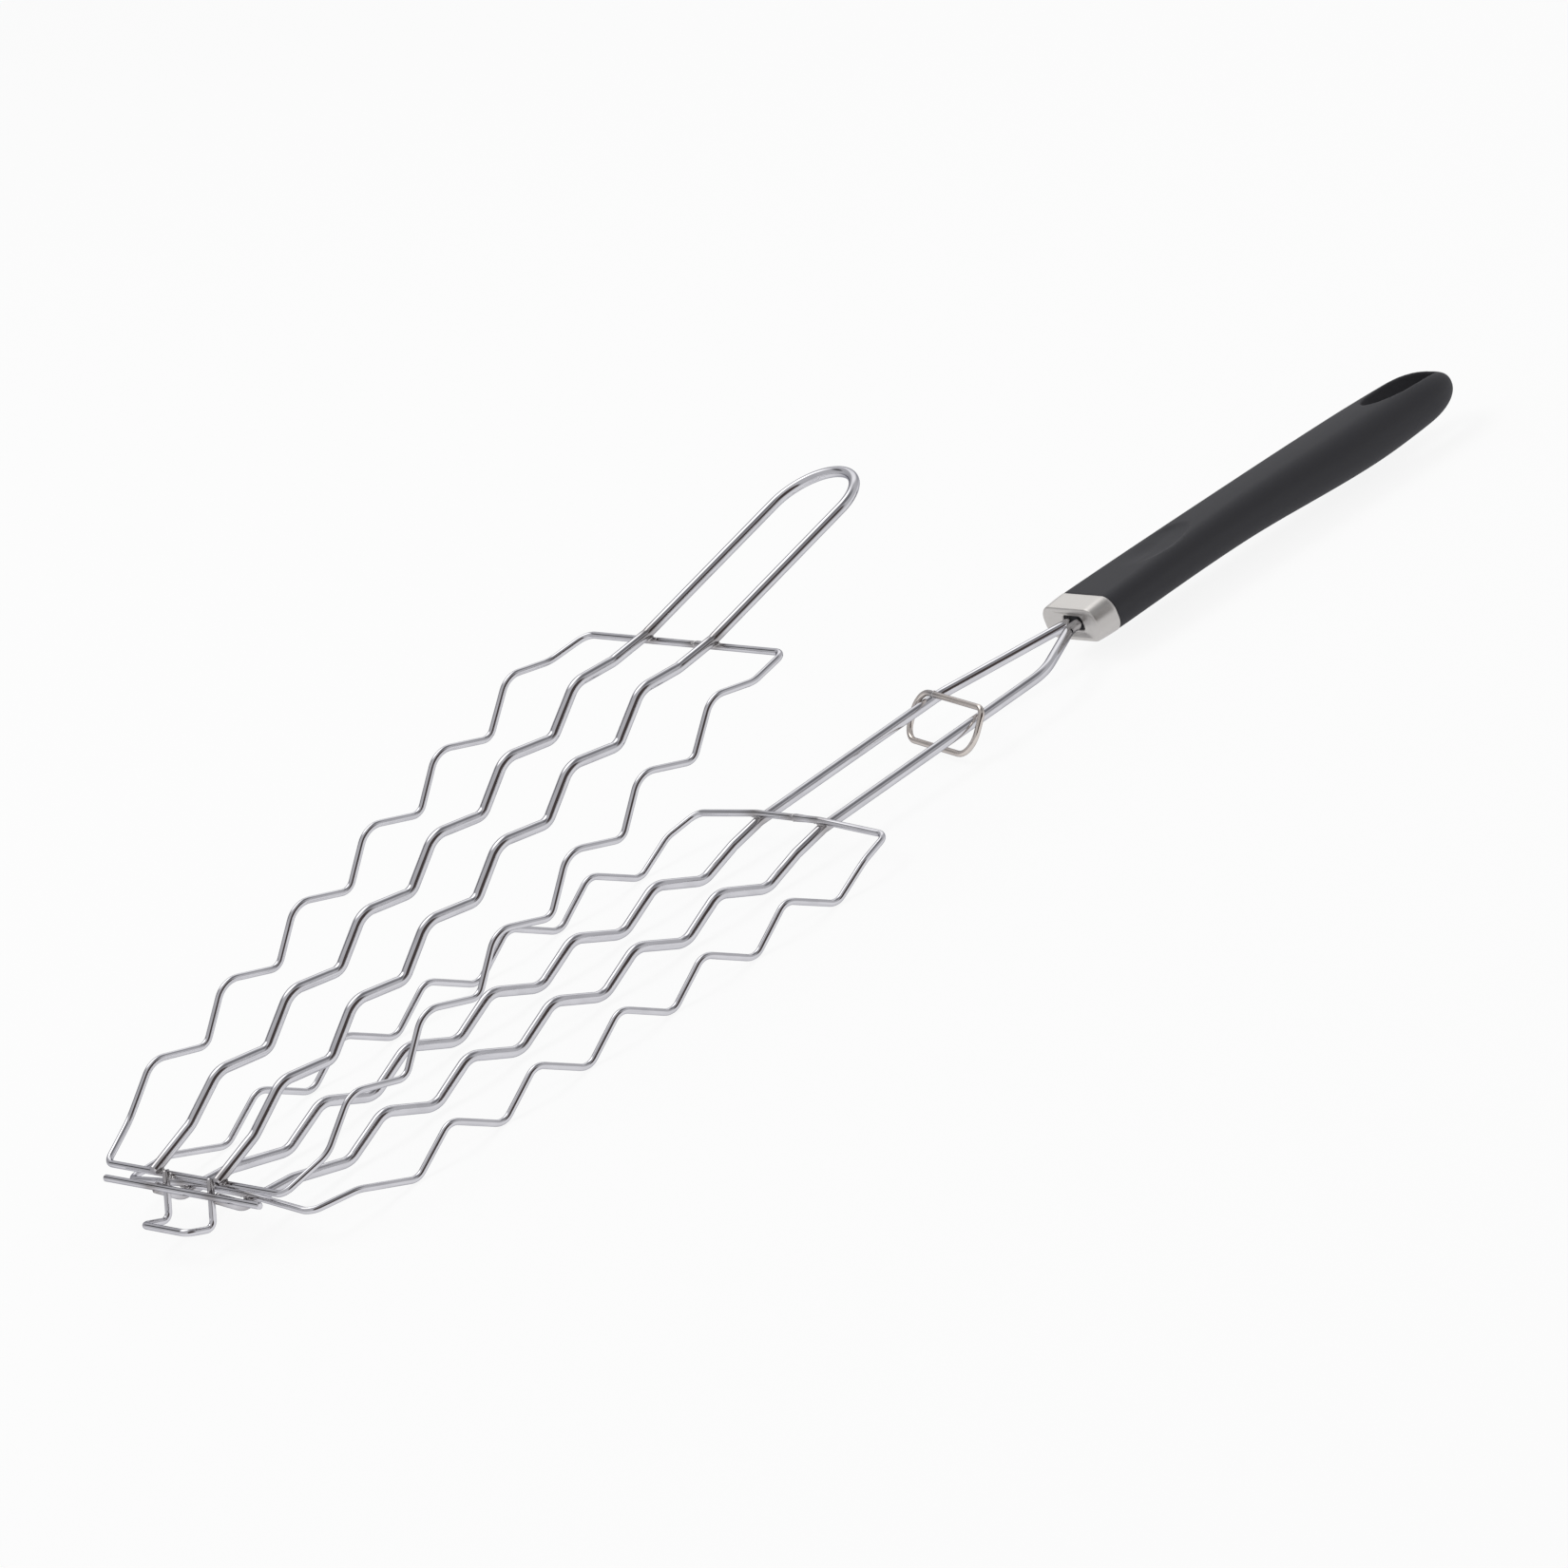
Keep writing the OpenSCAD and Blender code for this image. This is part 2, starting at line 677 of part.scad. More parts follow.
module hinge_bar_left_weld() {
    hinge_bar_weld(1);
}

module hinge_bar_right_weld() {
    hinge_bar_weld(-1);
}

module lid_loop_rod() {
    color(steel) translate(origin_shift) lid_frame() lid_rods();
}

module lid_frame_wire() {
    widths = [lid_front_bar_width, lid_grid_width, lid_rear_bar_width];
    radii = [lid_trough_r, lid_crest_r];
    bends = wave_bends(radii);
    line = [for (p = waves(lid_first_trough, trough_depth, radii)) [p.x, -p.y]];
    color(steel)
        translate(origin_shift)
            lid_frame()
                frame_wire(line, bends, lid_rear_bar, widths, 0, lid_rod_spacing, lid_butt_offset);
}

module lid_butt_weld() {
    color(bead_steel) translate(origin_shift) lid_frame() bead([lid_rear_bar, -lid_butt_offset, 0]);
}

// Welds where the lid's rods pass over its cross bars
module lid_weld(x, side) {
    color(bead_steel)
        translate(origin_shift)
            lid_frame()
                bead([x, side * lid_rod_spacing / 2, frame_wire_d / 2]);
}

module lid_front_left_weld() {
    lid_weld(0, 1);
}

module lid_front_right_weld() {
    lid_weld(0, -1);
}

module lid_rear_left_weld() {
    lid_weld(lid_rear_bar, 1);
}

module lid_rear_right_weld() {
    lid_weld(lid_rear_bar, -1);
}

// Bent wire hook of the lid that catches the hinge bar
module hinge_hook() {
    half = hook_width / 2;
    foot = hook_gap - hook_foot;
    path = [
        on_hook(hook_gap, half, -hook_rise),
        on_hook(hook_gap, half, hook_drop),
        on_hook(foot, half, hook_drop),
        on_hook(foot, -half, hook_drop),
        on_hook(hook_gap, -half, hook_drop),
        on_hook(hook_gap, -half, -hook_rise)
    ];
    color(steel) translate(origin_shift) lid_frame() wire(path, hook_wire_d, same(hook_bend_r, 4));
}

module hook_weld(side) {
    r = frame_wire_d / 2;
    color(bead_steel)
        translate(origin_shift)
            lid_frame()
                bead([-r * cos(hook_lean), side * hook_width / 2, r * sin(hook_lean)]);
}

module hook_left_weld() {
    hook_weld(1);
}

module hook_right_weld() {
    hook_weld(-1);
}

// Moves its children from the ring's own plane onto the stem: X across, Y up the ring
module ring_frame() {
    up = ring_height / 2;
    stem_frame()
        translate([ring_place, 0, ring_lift - up * sin(ring_lean)])
            rotate([0, -ring_lean, -ring_turn])
                children();
}

module locking_ring() {
    half = ring_width / 2;
    up = ring_height / 2;
    path = [
        [up, ring_butt_offset - butt_gap / 2, 0],
        [up, -half, 0],
        [-up, -half, 0],
        [-up, half, 0],
        [up, half, 0],
        [up, ring_butt_offset + butt_gap / 2, 0]
    ];
    bends = [ring_top_right_r, ring_bottom_right_r, ring_bottom_left_r, ring_top_left_r];
    color(ring_steel) translate(origin_shift) ring_frame() wire(path, ring_wire_d, bends);
}

module ring_butt_weld() {
    color(ring_steel)
        translate(origin_shift)
            ring_frame()
                translate([ring_height / 2, ring_butt_offset, 0])
                    sphere(d = ring_bead_d);
}

// Pressed steel cap over the grip's nose, with a dished front and a hole for the rods
module ferrule() {
    back = grip_place - eps;
    front_r = ferrule_front_height * grip_corner_share;
    wall = 2 * ferrule_wall;
    edge = ferrule_rim;
    land = edge + ferrule_land;
    flare = 2 * ferrule_flare;
    floor_in = ferrule_place + ferrule_dish;
    inside = floor_in + ferrule_wall;
    front = [ferrule_front_width, ferrule_front_height];
    hole = [ferrule_hole_width, ferrule_hole_height];
    color(steel)
        translate(origin_shift)
            grip_frame()
                skin([
                    section(inside, hole.x, hole.y, ferrule_hole_r, 0),
                    section(floor_in, hole.x, hole.y, ferrule_hole_r, 0),
                    section(floor_in, hole.x + flare, hole.y + flare, ferrule_hole_r + ferrule_flare, 0),
                    section(ferrule_place, front.x - 2 * land, front.y - 2 * land, front_r - land, 0),
                    section(ferrule_place, front.x - edge, front.y - edge, front_r - edge / 2, 0),
                    section(ferrule_place + edge, front.x, front.y, front_r, 0),
                    grip_section(back, grip_front_width, grip_front_height, 0),
                    grip_section(back, grip_front_width - wall, grip_front_height - wall, 0),
                    section(inside, front.x - wall, front.y - wall, front_r - ferrule_wall, 0)
                ], true);
}

// Moulded grip with the rods' bores and the hanging slot
module grip() {
    slot_x = grip_end - slot_place;
    bore_end = rod_end + rod_end_clearance;
    color(grip_black)
        translate(origin_shift)
            grip_frame()
                difference() {
                    grip_body();
                    for (side = [1, -1])
                        translate([nose_front - 1, side * neck_spacing / 2, 0])
                            rotate([0, 90, 0])
                                cylinder(h = bore_end - nose_front + 1, d = rod_d + 2 * rod_clearance);
                    translate([slot_x, 0, -tip_drop - tip_height])
                        linear_extrude(height = 2 * tip_height + tip_drop)
                            polygon(slot_points());
                }
}

base_left_rod();
base_right_rod();
base_frame_wire();
base_butt_weld();
base_front_left_weld();
base_front_right_weld();
base_rear_left_weld();
base_rear_right_weld();
hinge_bar();
hinge_bar_left_weld();
hinge_bar_right_weld();
lid_loop_rod();
lid_frame_wire();
lid_butt_weld();
lid_front_left_weld();
lid_front_right_weld();
lid_rear_left_weld();
lid_rear_right_weld();
hinge_hook();
hook_left_weld();
hook_right_weld();
locking_ring();
ring_butt_weld();
ferrule();
grip();
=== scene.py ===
import math
import random

import bmesh
import bpy
from bpy.props import FloatProperty, FloatVectorProperty, IntProperty, PointerProperty
from bpy.types import Operator, Panel, PropertyGroup
from mathutils import Matrix, Vector, noise


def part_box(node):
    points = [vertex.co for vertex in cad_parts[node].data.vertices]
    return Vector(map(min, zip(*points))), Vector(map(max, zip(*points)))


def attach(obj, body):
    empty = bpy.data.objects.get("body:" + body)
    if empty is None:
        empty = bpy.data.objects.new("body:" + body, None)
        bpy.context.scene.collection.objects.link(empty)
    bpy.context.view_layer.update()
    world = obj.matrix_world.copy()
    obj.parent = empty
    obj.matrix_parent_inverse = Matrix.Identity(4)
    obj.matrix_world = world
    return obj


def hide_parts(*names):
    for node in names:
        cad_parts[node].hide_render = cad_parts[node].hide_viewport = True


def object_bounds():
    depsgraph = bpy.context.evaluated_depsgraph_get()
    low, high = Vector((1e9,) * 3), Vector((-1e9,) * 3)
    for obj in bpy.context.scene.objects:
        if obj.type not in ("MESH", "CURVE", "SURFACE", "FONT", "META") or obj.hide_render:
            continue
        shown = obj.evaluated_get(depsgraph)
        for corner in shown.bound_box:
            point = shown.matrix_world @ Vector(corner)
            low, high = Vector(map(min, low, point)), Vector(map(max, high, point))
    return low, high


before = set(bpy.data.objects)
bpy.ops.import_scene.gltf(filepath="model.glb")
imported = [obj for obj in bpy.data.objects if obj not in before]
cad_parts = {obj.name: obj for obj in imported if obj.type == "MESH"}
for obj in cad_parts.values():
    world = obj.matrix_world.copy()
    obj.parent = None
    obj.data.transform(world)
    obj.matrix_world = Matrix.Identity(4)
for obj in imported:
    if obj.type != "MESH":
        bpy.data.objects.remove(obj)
CAD_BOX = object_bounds()

bl_info = {
    "name": "Sausage Grilling Basket",
    "version": (1, 0, 0),
    "blender": (4, 5, 0),
    "location": "3D View > Sidebar > Basket",
    "description": "Bends, welds and finishes the wires, ring, ferrule and grip of a sausage grilling basket",
    "category": "Add Mesh",
}

BEND_CHORDS = 9
WIRE_SIDES = 24
LONGEST_CHORD = 0.0025
CREST_SHARE = 0.5
PRESS_FLAT = 0.07
WAVER = 0.004
END_CHAMFER = 0.3
HEAT_REACH = 0.005
QUARTER_POINTS = 16
SLOT_POINTS = 72
GRIP_STEP = 0.0012
GRIP_SIDES = 132
GRIP_VOXEL = 0.00055
VISUAL_LENGTH_UNIT = "LENGTH"


def length(name, description, default):
    """A size in metres."""
    return FloatProperty(name=name, description=description, default=default, precision=5, unit=VISUAL_LENGTH_UNIT)


def angle(name, description, degrees):
    """An angle that is written in degrees and kept in radians."""
    return FloatProperty(name=name, description=description, default=math.radians(degrees), unit="ROTATION")


def share(name, description, default):
    """A share from nothing to all."""
    return FloatProperty(name=name, description=description, default=default, min=0.0, max=1.0, subtype="FACTOR")


def colour(name, description, default):
    """A finish colour."""
    return FloatVectorProperty(
        name=name, description=description, default=default, size=3, min=0.0, max=1.0, subtype="COLOR"
    )


class GridSizes(PropertyGroup):
    wire_d: length("Wire", "Diameter of the thin wire of both grid frames", 0.0025)
    rod_d: length("Rod", "Diameter of the thick long rods", 0.004)
    weld_bite: length("Weld bite", "Depth that welded wires sink into each other", 0.0001)
    troughs: IntProperty(name="Troughs", description="Troughs that hold the sausages", default=6, min=2, max=8)
    pitch: length("Pitch", "Distance from one trough to the next", 0.0395)
    trough_depth: length("Side troughs", "Depth of the side wires' troughs below the cross bars' ends", 0.0098)
    rod_trough_depth: length("Rod troughs", "Depth of the rods' troughs below the rods' line", 0.0072)
    base_first: length("Base first trough", "First trough of the base, from its hinge-end cross bar", 0.042)
    lid_first: length("Lid first trough", "First trough of the lid, from its hinge-end cross bar", 0.039)
    front_knee_x: length("Front knee", "Distance from the hinge-end cross bar to the first knee", 0.019)
    front_knee_drop: length("Front knee drop", "Drop of the first knee", 0.0015)
    rear_knee_x: length("Rear knee", "Distance from the last trough to the last knee", 0.017)
    rear_knee_drop: length("Rear knee drop", "Drop of the last knee", 0.0026)
    base_rear_x: length("Base rear bar", "Distance from the base's last trough to its handle-end bar", 0.031)
    lid_rear_x: length("Lid rear bar", "Distance from the lid's last trough to its handle-end bar", 0.0345)
    base_width: length("Base width", "Width between the base's side wires", 0.115)
    lid_width: length("Lid width", "Width between the lid's side wires", 0.12)
    base_front_width: length("Base front bar", "Width of the base's hinge-end cross bar", 0.11)
    lid_front_width: length("Lid front bar", "Width of the lid's hinge-end cross bar", 0.107)
    base_rear_width: length("Base rear bar width", "Width of the base's handle-end cross bar", 0.11)
    lid_rear_width: length("Lid rear bar width", "Width of the lid's handle-end cross bar", 0.115)
    bow: length("Bow", "Rise of the base's cross bars to where they cross the rods", 0.0028)
    bow_r: length("Bow bend", "Bend radius of a bowed cross bar", 0.015)
    wave_r: length("Side bends", "Bend radius of the base side wires' waves", 0.0065)
    rod_r: length("Rod bends", "Bend radius of the base rods' waves", 0.009)
    lid_trough_r: length("Lid troughs", "Bend radius of the lid side wires' troughs", 0.01)
    lid_crest_r: length("Lid crests", "Bend radius of the lid side wires' crests", 0.0055)
    lid_rod_trough_r: length("Lid rod troughs", "Bend radius of the lid rods' troughs", 0.011)
    lid_rod_crest_r: length("Lid rod crests", "Bend radius of the lid rods' crests", 0.0065)
    knee_r: length("Knees", "Bend radius of the knees at both ends of the waves", 0.015)
    corner_r: length("Corner bends", "Bend radius of the frames' corners", 0.005)
    base_spacing: length("Base rod spacing", "Spacing of the base's two rods", 0.037)
    lid_spacing: length("Lid rod spacing", "Spacing of the lid's two rods", 0.0385)
    butt_gap: length("Butt gap", "Gap between a frame wire's ends at its butt joint", 0.0002)
    base_butt: length("Base butt joint", "Butt joint from the middle of the base's handle-end bar", 0.004)
    lid_butt: length("Lid butt joint", "Butt joint from the middle of the lid's handle-end bar", 0.007)


class HingeSizes(PropertyGroup):
    back: length("Back", "Hinge bar behind the base's hinge-end cross bar", 0.0125)
    height: length("Height", "Hinge bar above the base's cross bars", 0.0085)
    bar_length: length("Bar length", "Length of the hinge bar", 0.094)
    bar_d: length("Bar", "Diameter of the hinge bar", 0.0025)
    rise_lead: length("Rise lead", "Straight run of a base rod past the cross bar, before it rises", 0.003)
    rise_r: length("Rise bend", "Bend radius where a base rod rises to the hinge bar", 0.005)
    lid_reach: length("Lid reach", "Lid's hinge-end cross bar from the hinge bar", 0.00645)
    lid_overrun: length("Lid rod overrun", "Lid rod left over past its hinge-end cross bar", 0.0025)
    lid_open: angle("Lid open", "Opening angle of the lid as photographed", 14.9)
    hook_d: length("Hook wire", "Diameter of the hook's wire", 0.0025)
    hook_width: length("Hook width", "Width between the hook's two legs", 0.027)
    hook_drop: length("Hook drop", "Hook leg past the hinge bar, down to the foot", 0.0117)
    hook_foot: length("Hook foot", "Length of the hook's foot", 0.0109)
    hook_overrun: length("Hook overrun", "Hook leg left over past the lid's cross bar", 0.002)
    hook_clearance: length("Hook clearance", "Running clearance between hook leg and hinge bar", 0.00035)
    hook_r: length("Hook bends", "Bend radius of the hook", 0.003)


class StemSizes(PropertyGroup):
    rise: angle("Rise", "Rise of the stem over the grid's plane", 1.9)
    left_start: length("Left taper start", "Where the stem's left rod starts to close in", 0.0915)
    left_taper: angle("Left taper", "Angle at which the left rod closes in", 14.4)
    right_start: length("Right taper start", "Where the stem's right rod starts to close in", 0.1132)
    right_taper: angle("Right taper", "Angle at which the right rod closes in", 31.5)
    neck_side: length("Neck side", "Grip and ferrule to the left of the grid's middle", 0.0021)
    outer_r: length("Outer bends", "Bend radius where the rods turn in", 0.025)
    inner_r: length("Inner bends", "Bend radius where the rods straighten again", 0.01)
    neck: length("Neck", "Spacing of the rods inside the grip", 0.0052)
    rod_insert: length("Rod insert", "Rod held inside the grip, from the ferrule's front face", 0.054)
    loop_length: length("Loop", "Straight part of the lid's loop", 0.0715)
    loop_slope: angle("Loop slope", "Slope of the lid's loop toward the base", 1.8)


class RingSizes(PropertyGroup):
    wire_d: length("Wire", "Diameter of the ring's wire", 0.0023)
    width: length("Width", "Width between the ring's side wires", 0.047)
    height: length("Height", "Height between the ring's bars", 0.018)
    top_right_r: length("Upper right bend", "Bend radius of the ring's upper right corner", 0.0035)
    top_left_r: length("Upper left bend", "Bend radius of the ring's upper left corner", 0.008)
    bottom_right_r: length("Lower right bend", "Bend radius of the ring's lower right corner", 0.0095)
    bottom_left_r: length("Lower left bend", "Bend radius of the ring's lower left corner", 0.006)
    lean: angle("Lean", "Lean of the ring from the stem", 50.0)
    turn: angle("Turn", "Turn of the ring across the stem, as it lies", 10.0)
    place: length("Place", "Ring from the handle-end cross bar, as photographed", 0.077)
    clearance: length("Clearance", "Height of the ring over the rods", 0.0015)
    butt: length("Butt joint", "Butt joint from the middle of the ring's upper bar", 0.012)
    bead_d: length("Bead", "Diameter of the bead at the butt joint", 0.003)


class FerruleSizes(PropertyGroup):
    place: length("Place", "Front face of the ferrule from the handle-end cross bar", 0.1457)
    length: length("Length", "Length of the ferrule", 0.01)
    front_width: length("Front width", "Width of the ferrule's front", 0.031)
    front_height: length("Front height", "Height of the ferrule's front", 0.0134)
    wall: length("Wall", "Wall of the ferrule", 0.0008)
    dish: length("Dish", "Depth of the dish in the ferrule's front", 0.0012)
    rim: length("Rim", "Rounding of the ferrule's front edge", 0.0008)
    land: length("Land", "Width of the flat rim around the dish", 0.0005)
    hole_width: length("Hole width", "Width of the hole for the rods", 0.0106)
    hole_height: length("Hole height", "Height of the hole for the rods", 0.0056)
    hole_r: length("Hole corners", "Corner radius of the hole for the rods", 0.0015)


class GripSizes(PropertyGroup):
    front_width: length("Front width", "Width of the grip at the ferrule", 0.032)
    front_height: length("Front height", "Height of the grip at the ferrule", 0.0143)
    waist_place: length("Waist place", "Waist from the grip's front", 0.07)
    waist_width: length("Waist width", "Width of the waist", 0.0276)
    waist_height: length("Waist height", "Height of the waist", 0.0171)
    waist_drop: length("Waist drop", "Drop of the grip's middle line at the waist", 0.001)
    belly_place: length("Belly place", "Belly from the grip's front", 0.139)
    belly_width: length("Belly width", "Width of the belly", 0.0307)
    belly_height: length("Belly height", "Height of the belly", 0.0202)
    belly_drop: length("Belly drop", "Drop of the grip's middle line at the belly", 0.0044)
    grip_length: length("Length", "Length of the grip", 0.189)
    tip_width: length("Tip width", "Width just before the rounded tip", 0.026)
    tip_height: length("Tip height", "Height just before the rounded tip", 0.0164)
    tip_drop: length("Tip drop", "Drop of the grip's middle line at the tip", 0.0052)
    tip_round: length("Tip round", "Length of the rounded tip", 0.022)
    tip_fullness: FloatProperty(name="Tip fullness", description="How full the rounded tip is", default=2.4)
    corner_share: share("Corner share", "Corner radius of the grip as a share of its height", 0.42)
    front_oval: share("Front oval", "How far the front's section goes toward an oval", 0.06)
    belly_oval: share("Belly oval", "How far the belly's section goes toward an oval", 0.5)
    slot_length: length("Slot length", "Length of the hanging slot", 0.036)
    slot_width: length("Slot width", "Width of the hanging slot", 0.014)
    slot_place: length("Slot place", "Middle of the hanging slot from the tip", 0.022)
    slot_edge: length("Slot edge", "Rounding of the slot's edge", 0.0007)
    dimple_place: length("Dimple place", "Thumb dimple from the grip's front", 0.037)
    dimple_length: length("Dimple length", "Length of the thumb dimple", 0.034)
    dimple_width: length("Dimple width", "Width of the thumb dimple", 0.019)
    dimple_depth: length("Dimple depth", "Depth of the thumb dimple", 0.0014)
    nose_gap: length("Nose gap", "Clearance between the ferrule and the grip's nose", 0.0001)


class FinishColours(PropertyGroup):
    plating: colour("Plating", "Bright plating of the rods and wires", (0.74, 0.735, 0.75))
    plating_shade: colour("Plating shade", "Duller streaks of the plating", (0.55, 0.545, 0.56))
    heat: colour("Heat tint", "Plating burnt beside a weld", (0.42, 0.40, 0.39))
    weld: colour("Weld", "Bare metal of a weld", (0.6, 0.59, 0.58))
    nickel: colour("Nickel", "Warm plating of the locking ring", (0.74, 0.68, 0.62))
    nickel_shade: colour("Nickel shade", "Duller streaks of the ring's plating", (0.58, 0.53, 0.48))
    steel: colour("Steel", "Polished steel of the ferrule", (0.72, 0.69, 0.67))
    steel_shade: colour("Steel shade", "Duller patches of the ferrule", (0.55, 0.52, 0.5))
    plastic: colour("Plastic", "Satin black plastic of the grip", (0.013, 0.013, 0.0155))
    plastic_worn: colour("Worn plastic", "Rubbed and dusty plastic of the grip", (0.022, 0.022, 0.025))


class StageSetup(PropertyGroup):
    aim: FloatVectorProperty(
        name="Aim", description="Point in the middle of the photograph", size=3,
        default=(-0.0913, -0.108, 0.0706), subtype="TRANSLATION", precision=4,
    )
    distance: length("Distance", "Camera from the point it aims at", 3.189)
    azimuth: angle("Azimuth", "Direction of the camera around the object", -123.07)
    elevation: angle("Elevation", "Height of the camera over the floor's plane", 19.396)
    roll: angle("Roll", "Roll of the camera about its line of sight", -20.70)
    lens: FloatProperty(name="Lens", description="Focal length of the camera", default=215.15, unit="CAMERA")
    floor_radius: length("Floor radius", "Radius of the round floor", 7.0)
    key: FloatProperty(name="Key light", description="Strength of the soft light overhead", default=16.0, unit="POWER")
    fill: FloatProperty(name="Fill light", description="Strength of the soft light beside it", default=7.0, unit="POWER")
    ambient: share("Ambient", "Strength of the even light from all around", 0.62)


def corner_past(a, b):
    """How far past a bend its corner lies, as a share of the radius, with sides that slope by a and b."""
    return math.cos((a - b) / 2) / math.cos((a + b) / 2) - 1


class Plan:
    """Places, slopes and matrices worked out from the panel's sizes, in the grid's own frame."""

    def __init__(self, scene):
        self.grid, self.hinge, self.stem = scene.basket_grid, scene.basket_hinge, scene.basket_stem
        self.ring, self.ferrule, self.grip = scene.basket_ring, scene.basket_ferrule, scene.basket_grip
        grid, hinge, stem = self.grid, self.hinge, self.stem
        run = grid.pitch * (grid.troughs - 1)
        self.rod_offset = (grid.wire_d + grid.rod_d) / 2 - grid.weld_bite
        self.rod_drop = self.rod_offset - grid.bow
        self.base_rear = grid.base_first + run + grid.base_rear_x
        self.lid_rear = grid.lid_first + run + grid.lid_rear_x
        self.front_slope = math.atan2(grid.front_knee_drop, grid.front_knee_x)

        low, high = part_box("hinge_bar")
        self.bar = Vector((-hinge.back, 0.0, hinge.height))
        self.to_row = Matrix.Translation((low + high) / 2 - self.bar)
        self.stem_to_row = (
            self.to_row
            @ Matrix.Translation((self.base_rear, 0.0, -self.rod_drop))
            @ Matrix.Rotation(-stem.rise, 4, "Y")
        )
        self.lid_to_row = (
            self.to_row
            @ Matrix.Translation(self.bar)
            @ Matrix.Rotation(-hinge.lid_open, 4, "Y")
            @ Matrix.Translation((hinge.lid_reach, 0.0, 0.0))
        )
        self.grip_to_row = self.stem_to_row @ Matrix.Translation((0.0, stem.neck_side, 0.0))
        self.ring_to_row = self.stem_to_row @ self.ring_frame()

        self.rise_corner = Vector((
            -hinge.rise_lead * math.cos(self.front_slope),
            0.0,
            hinge.rise_lead * math.sin(self.front_slope) - self.rod_drop,
        ))
        rise = self.bar - self.rise_corner
        self.rise_way = rise.normalized()
        self.rise_run = rise.length - hinge.bar_d / 2 + grid.weld_bite

        self.hook_gap = (hinge.hook_d + hinge.bar_d) / 2 + hinge.hook_clearance
        bar_gap = (hinge.hook_d + grid.wire_d) / 2 - grid.weld_bite
        self.hook_lean = math.acos((self.hook_gap + bar_gap) / hinge.lid_reach)
        self.hook_rise = hinge.lid_reach * math.sin(self.hook_lean) + hinge.hook_overrun

    def ring_frame(self):
        """Matrix from the ring's own plane to the stem's frame: X up the ring, Y across."""
        ring = self.ring
        lift = (self.grid.rod_d + ring.wire_d) / 2 + ring.clearance - ring.height / 2 * math.sin(ring.lean)
        return (
            Matrix.Translation((ring.place, 0.0, lift))
            @ Matrix.Rotation(-ring.turn, 4, "Z")
            @ Matrix.Rotation(-ring.lean, 4, "Y")
        )

    def waves(self, first, depth, trough_r, crest_r):
        """Knees, troughs and crests of a wire between its cross bars: (X, Z, bend radius)."""
        grid = self.grid
        run, both = grid.pitch / 2, trough_r + crest_r
        slope = math.atan2(run, both - depth) - math.acos(both / math.hypot(run, both - depth))
        front = math.atan2(depth - grid.front_knee_drop, first - grid.front_knee_x)
        rear = math.atan2(depth - grid.rear_knee_drop, grid.rear_knee_x)
        line = [(grid.front_knee_x, -grid.front_knee_drop, grid.knee_r)]
        for i in range(grid.troughs):
            x = first + grid.pitch * i
            side = {0: front, grid.troughs - 1: rear}.get(i, slope)
            line.append((x, -depth - trough_r * corner_past(slope, side), trough_r))
            if i < grid.troughs - 1:
                line.append((x + grid.pitch * CREST_SHARE, crest_r * corner_past(slope, slope), crest_r))
        line.append((x + grid.rear_knee_x, -grid.rear_knee_drop, grid.knee_r))
        return line

    def base_rod_route(self, side):
        """Middle line of one long rod of the base, from its hinge end into the grip."""
        grid, stem = self.grid, self.stem
        line = self.waves(grid.base_first, grid.rod_trough_depth, grid.rod_r, grid.rod_r)
        y, neck = side * grid.base_spacing / 2, stem.neck_side + side * stem.neck / 2
        start, taper = (stem.left_start, stem.left_taper) if side > 0 else (stem.right_start, stem.right_taper)
        corner = self.rise_corner + Vector((0.0, y, 0.0))
        neck_start = start + abs(y - neck) / math.tan(taper)
        to_grid = self.to_row.inverted() @ self.stem_to_row
        path = [
            corner + self.rise_way * self.rise_run,
            corner,
            *(Vector((x, y, z - self.rod_drop)) for x, z, r in line),
            to_grid @ Vector((0.0, y, 0.0)),
            to_grid @ Vector((start, y, 0.0)),
            to_grid @ Vector((neck_start, neck, 0.0)),
            to_grid @ Vector((self.ferrule.place + stem.rod_insert, neck, 0.0)),
        ]
        radii = [self.hinge.rise_r, *(r for x, z, r in line), grid.knee_r, stem.outer_r, stem.inner_r]
        return rounded(path, radii)

    def frame_route(self, line, rear, widths, bow, spacing, butt, flip):
        """Middle line of a grid's outer frame, open at its butt joint."""
        grid = self.grid
        front, sides, back = (w / 2 for w in widths)
        mid, gap = spacing / 2, grid.butt_gap / 2
        path = [
            (rear, -butt - gap, bow),
            (rear, -mid, bow),
            (rear, -back, 0.0),
            *((x, -sides, flip * z) for x, z, r in reversed(line)),
            (0.0, -front, 0.0),
            (0.0, -mid, bow),
            (0.0, mid, bow),
            (0.0, front, 0.0),
            *((x, sides, flip * z) for x, z, r in line),
            (rear, back, 0.0),
            (rear, mid, bow),
            (rear, -butt + gap, bow),
        ]
        radii = [grid.bow_r, grid.corner_r, *(r for x, z, r in line), grid.corner_r, grid.bow_r]
        return rounded([Vector(p) for p in path], radii + radii)

    def base_frame_route(self):
        grid = self.grid
        widths = (grid.base_front_width, grid.base_width, grid.base_rear_width)
        line = self.waves(grid.base_first, grid.trough_depth, grid.wave_r, grid.wave_r)
        return self.frame_route(line, self.base_rear, widths, grid.bow, grid.base_spacing, grid.base_butt, 1.0)

    def lid_frame_route(self):
        grid = self.grid
        widths = (grid.lid_front_width, grid.lid_width, grid.lid_rear_width)
        line = self.waves(grid.lid_first, grid.trough_depth, grid.lid_trough_r, grid.lid_crest_r)
        return self.frame_route(line, self.lid_rear, widths, 0.0, grid.lid_spacing, grid.lid_butt, -1.0)

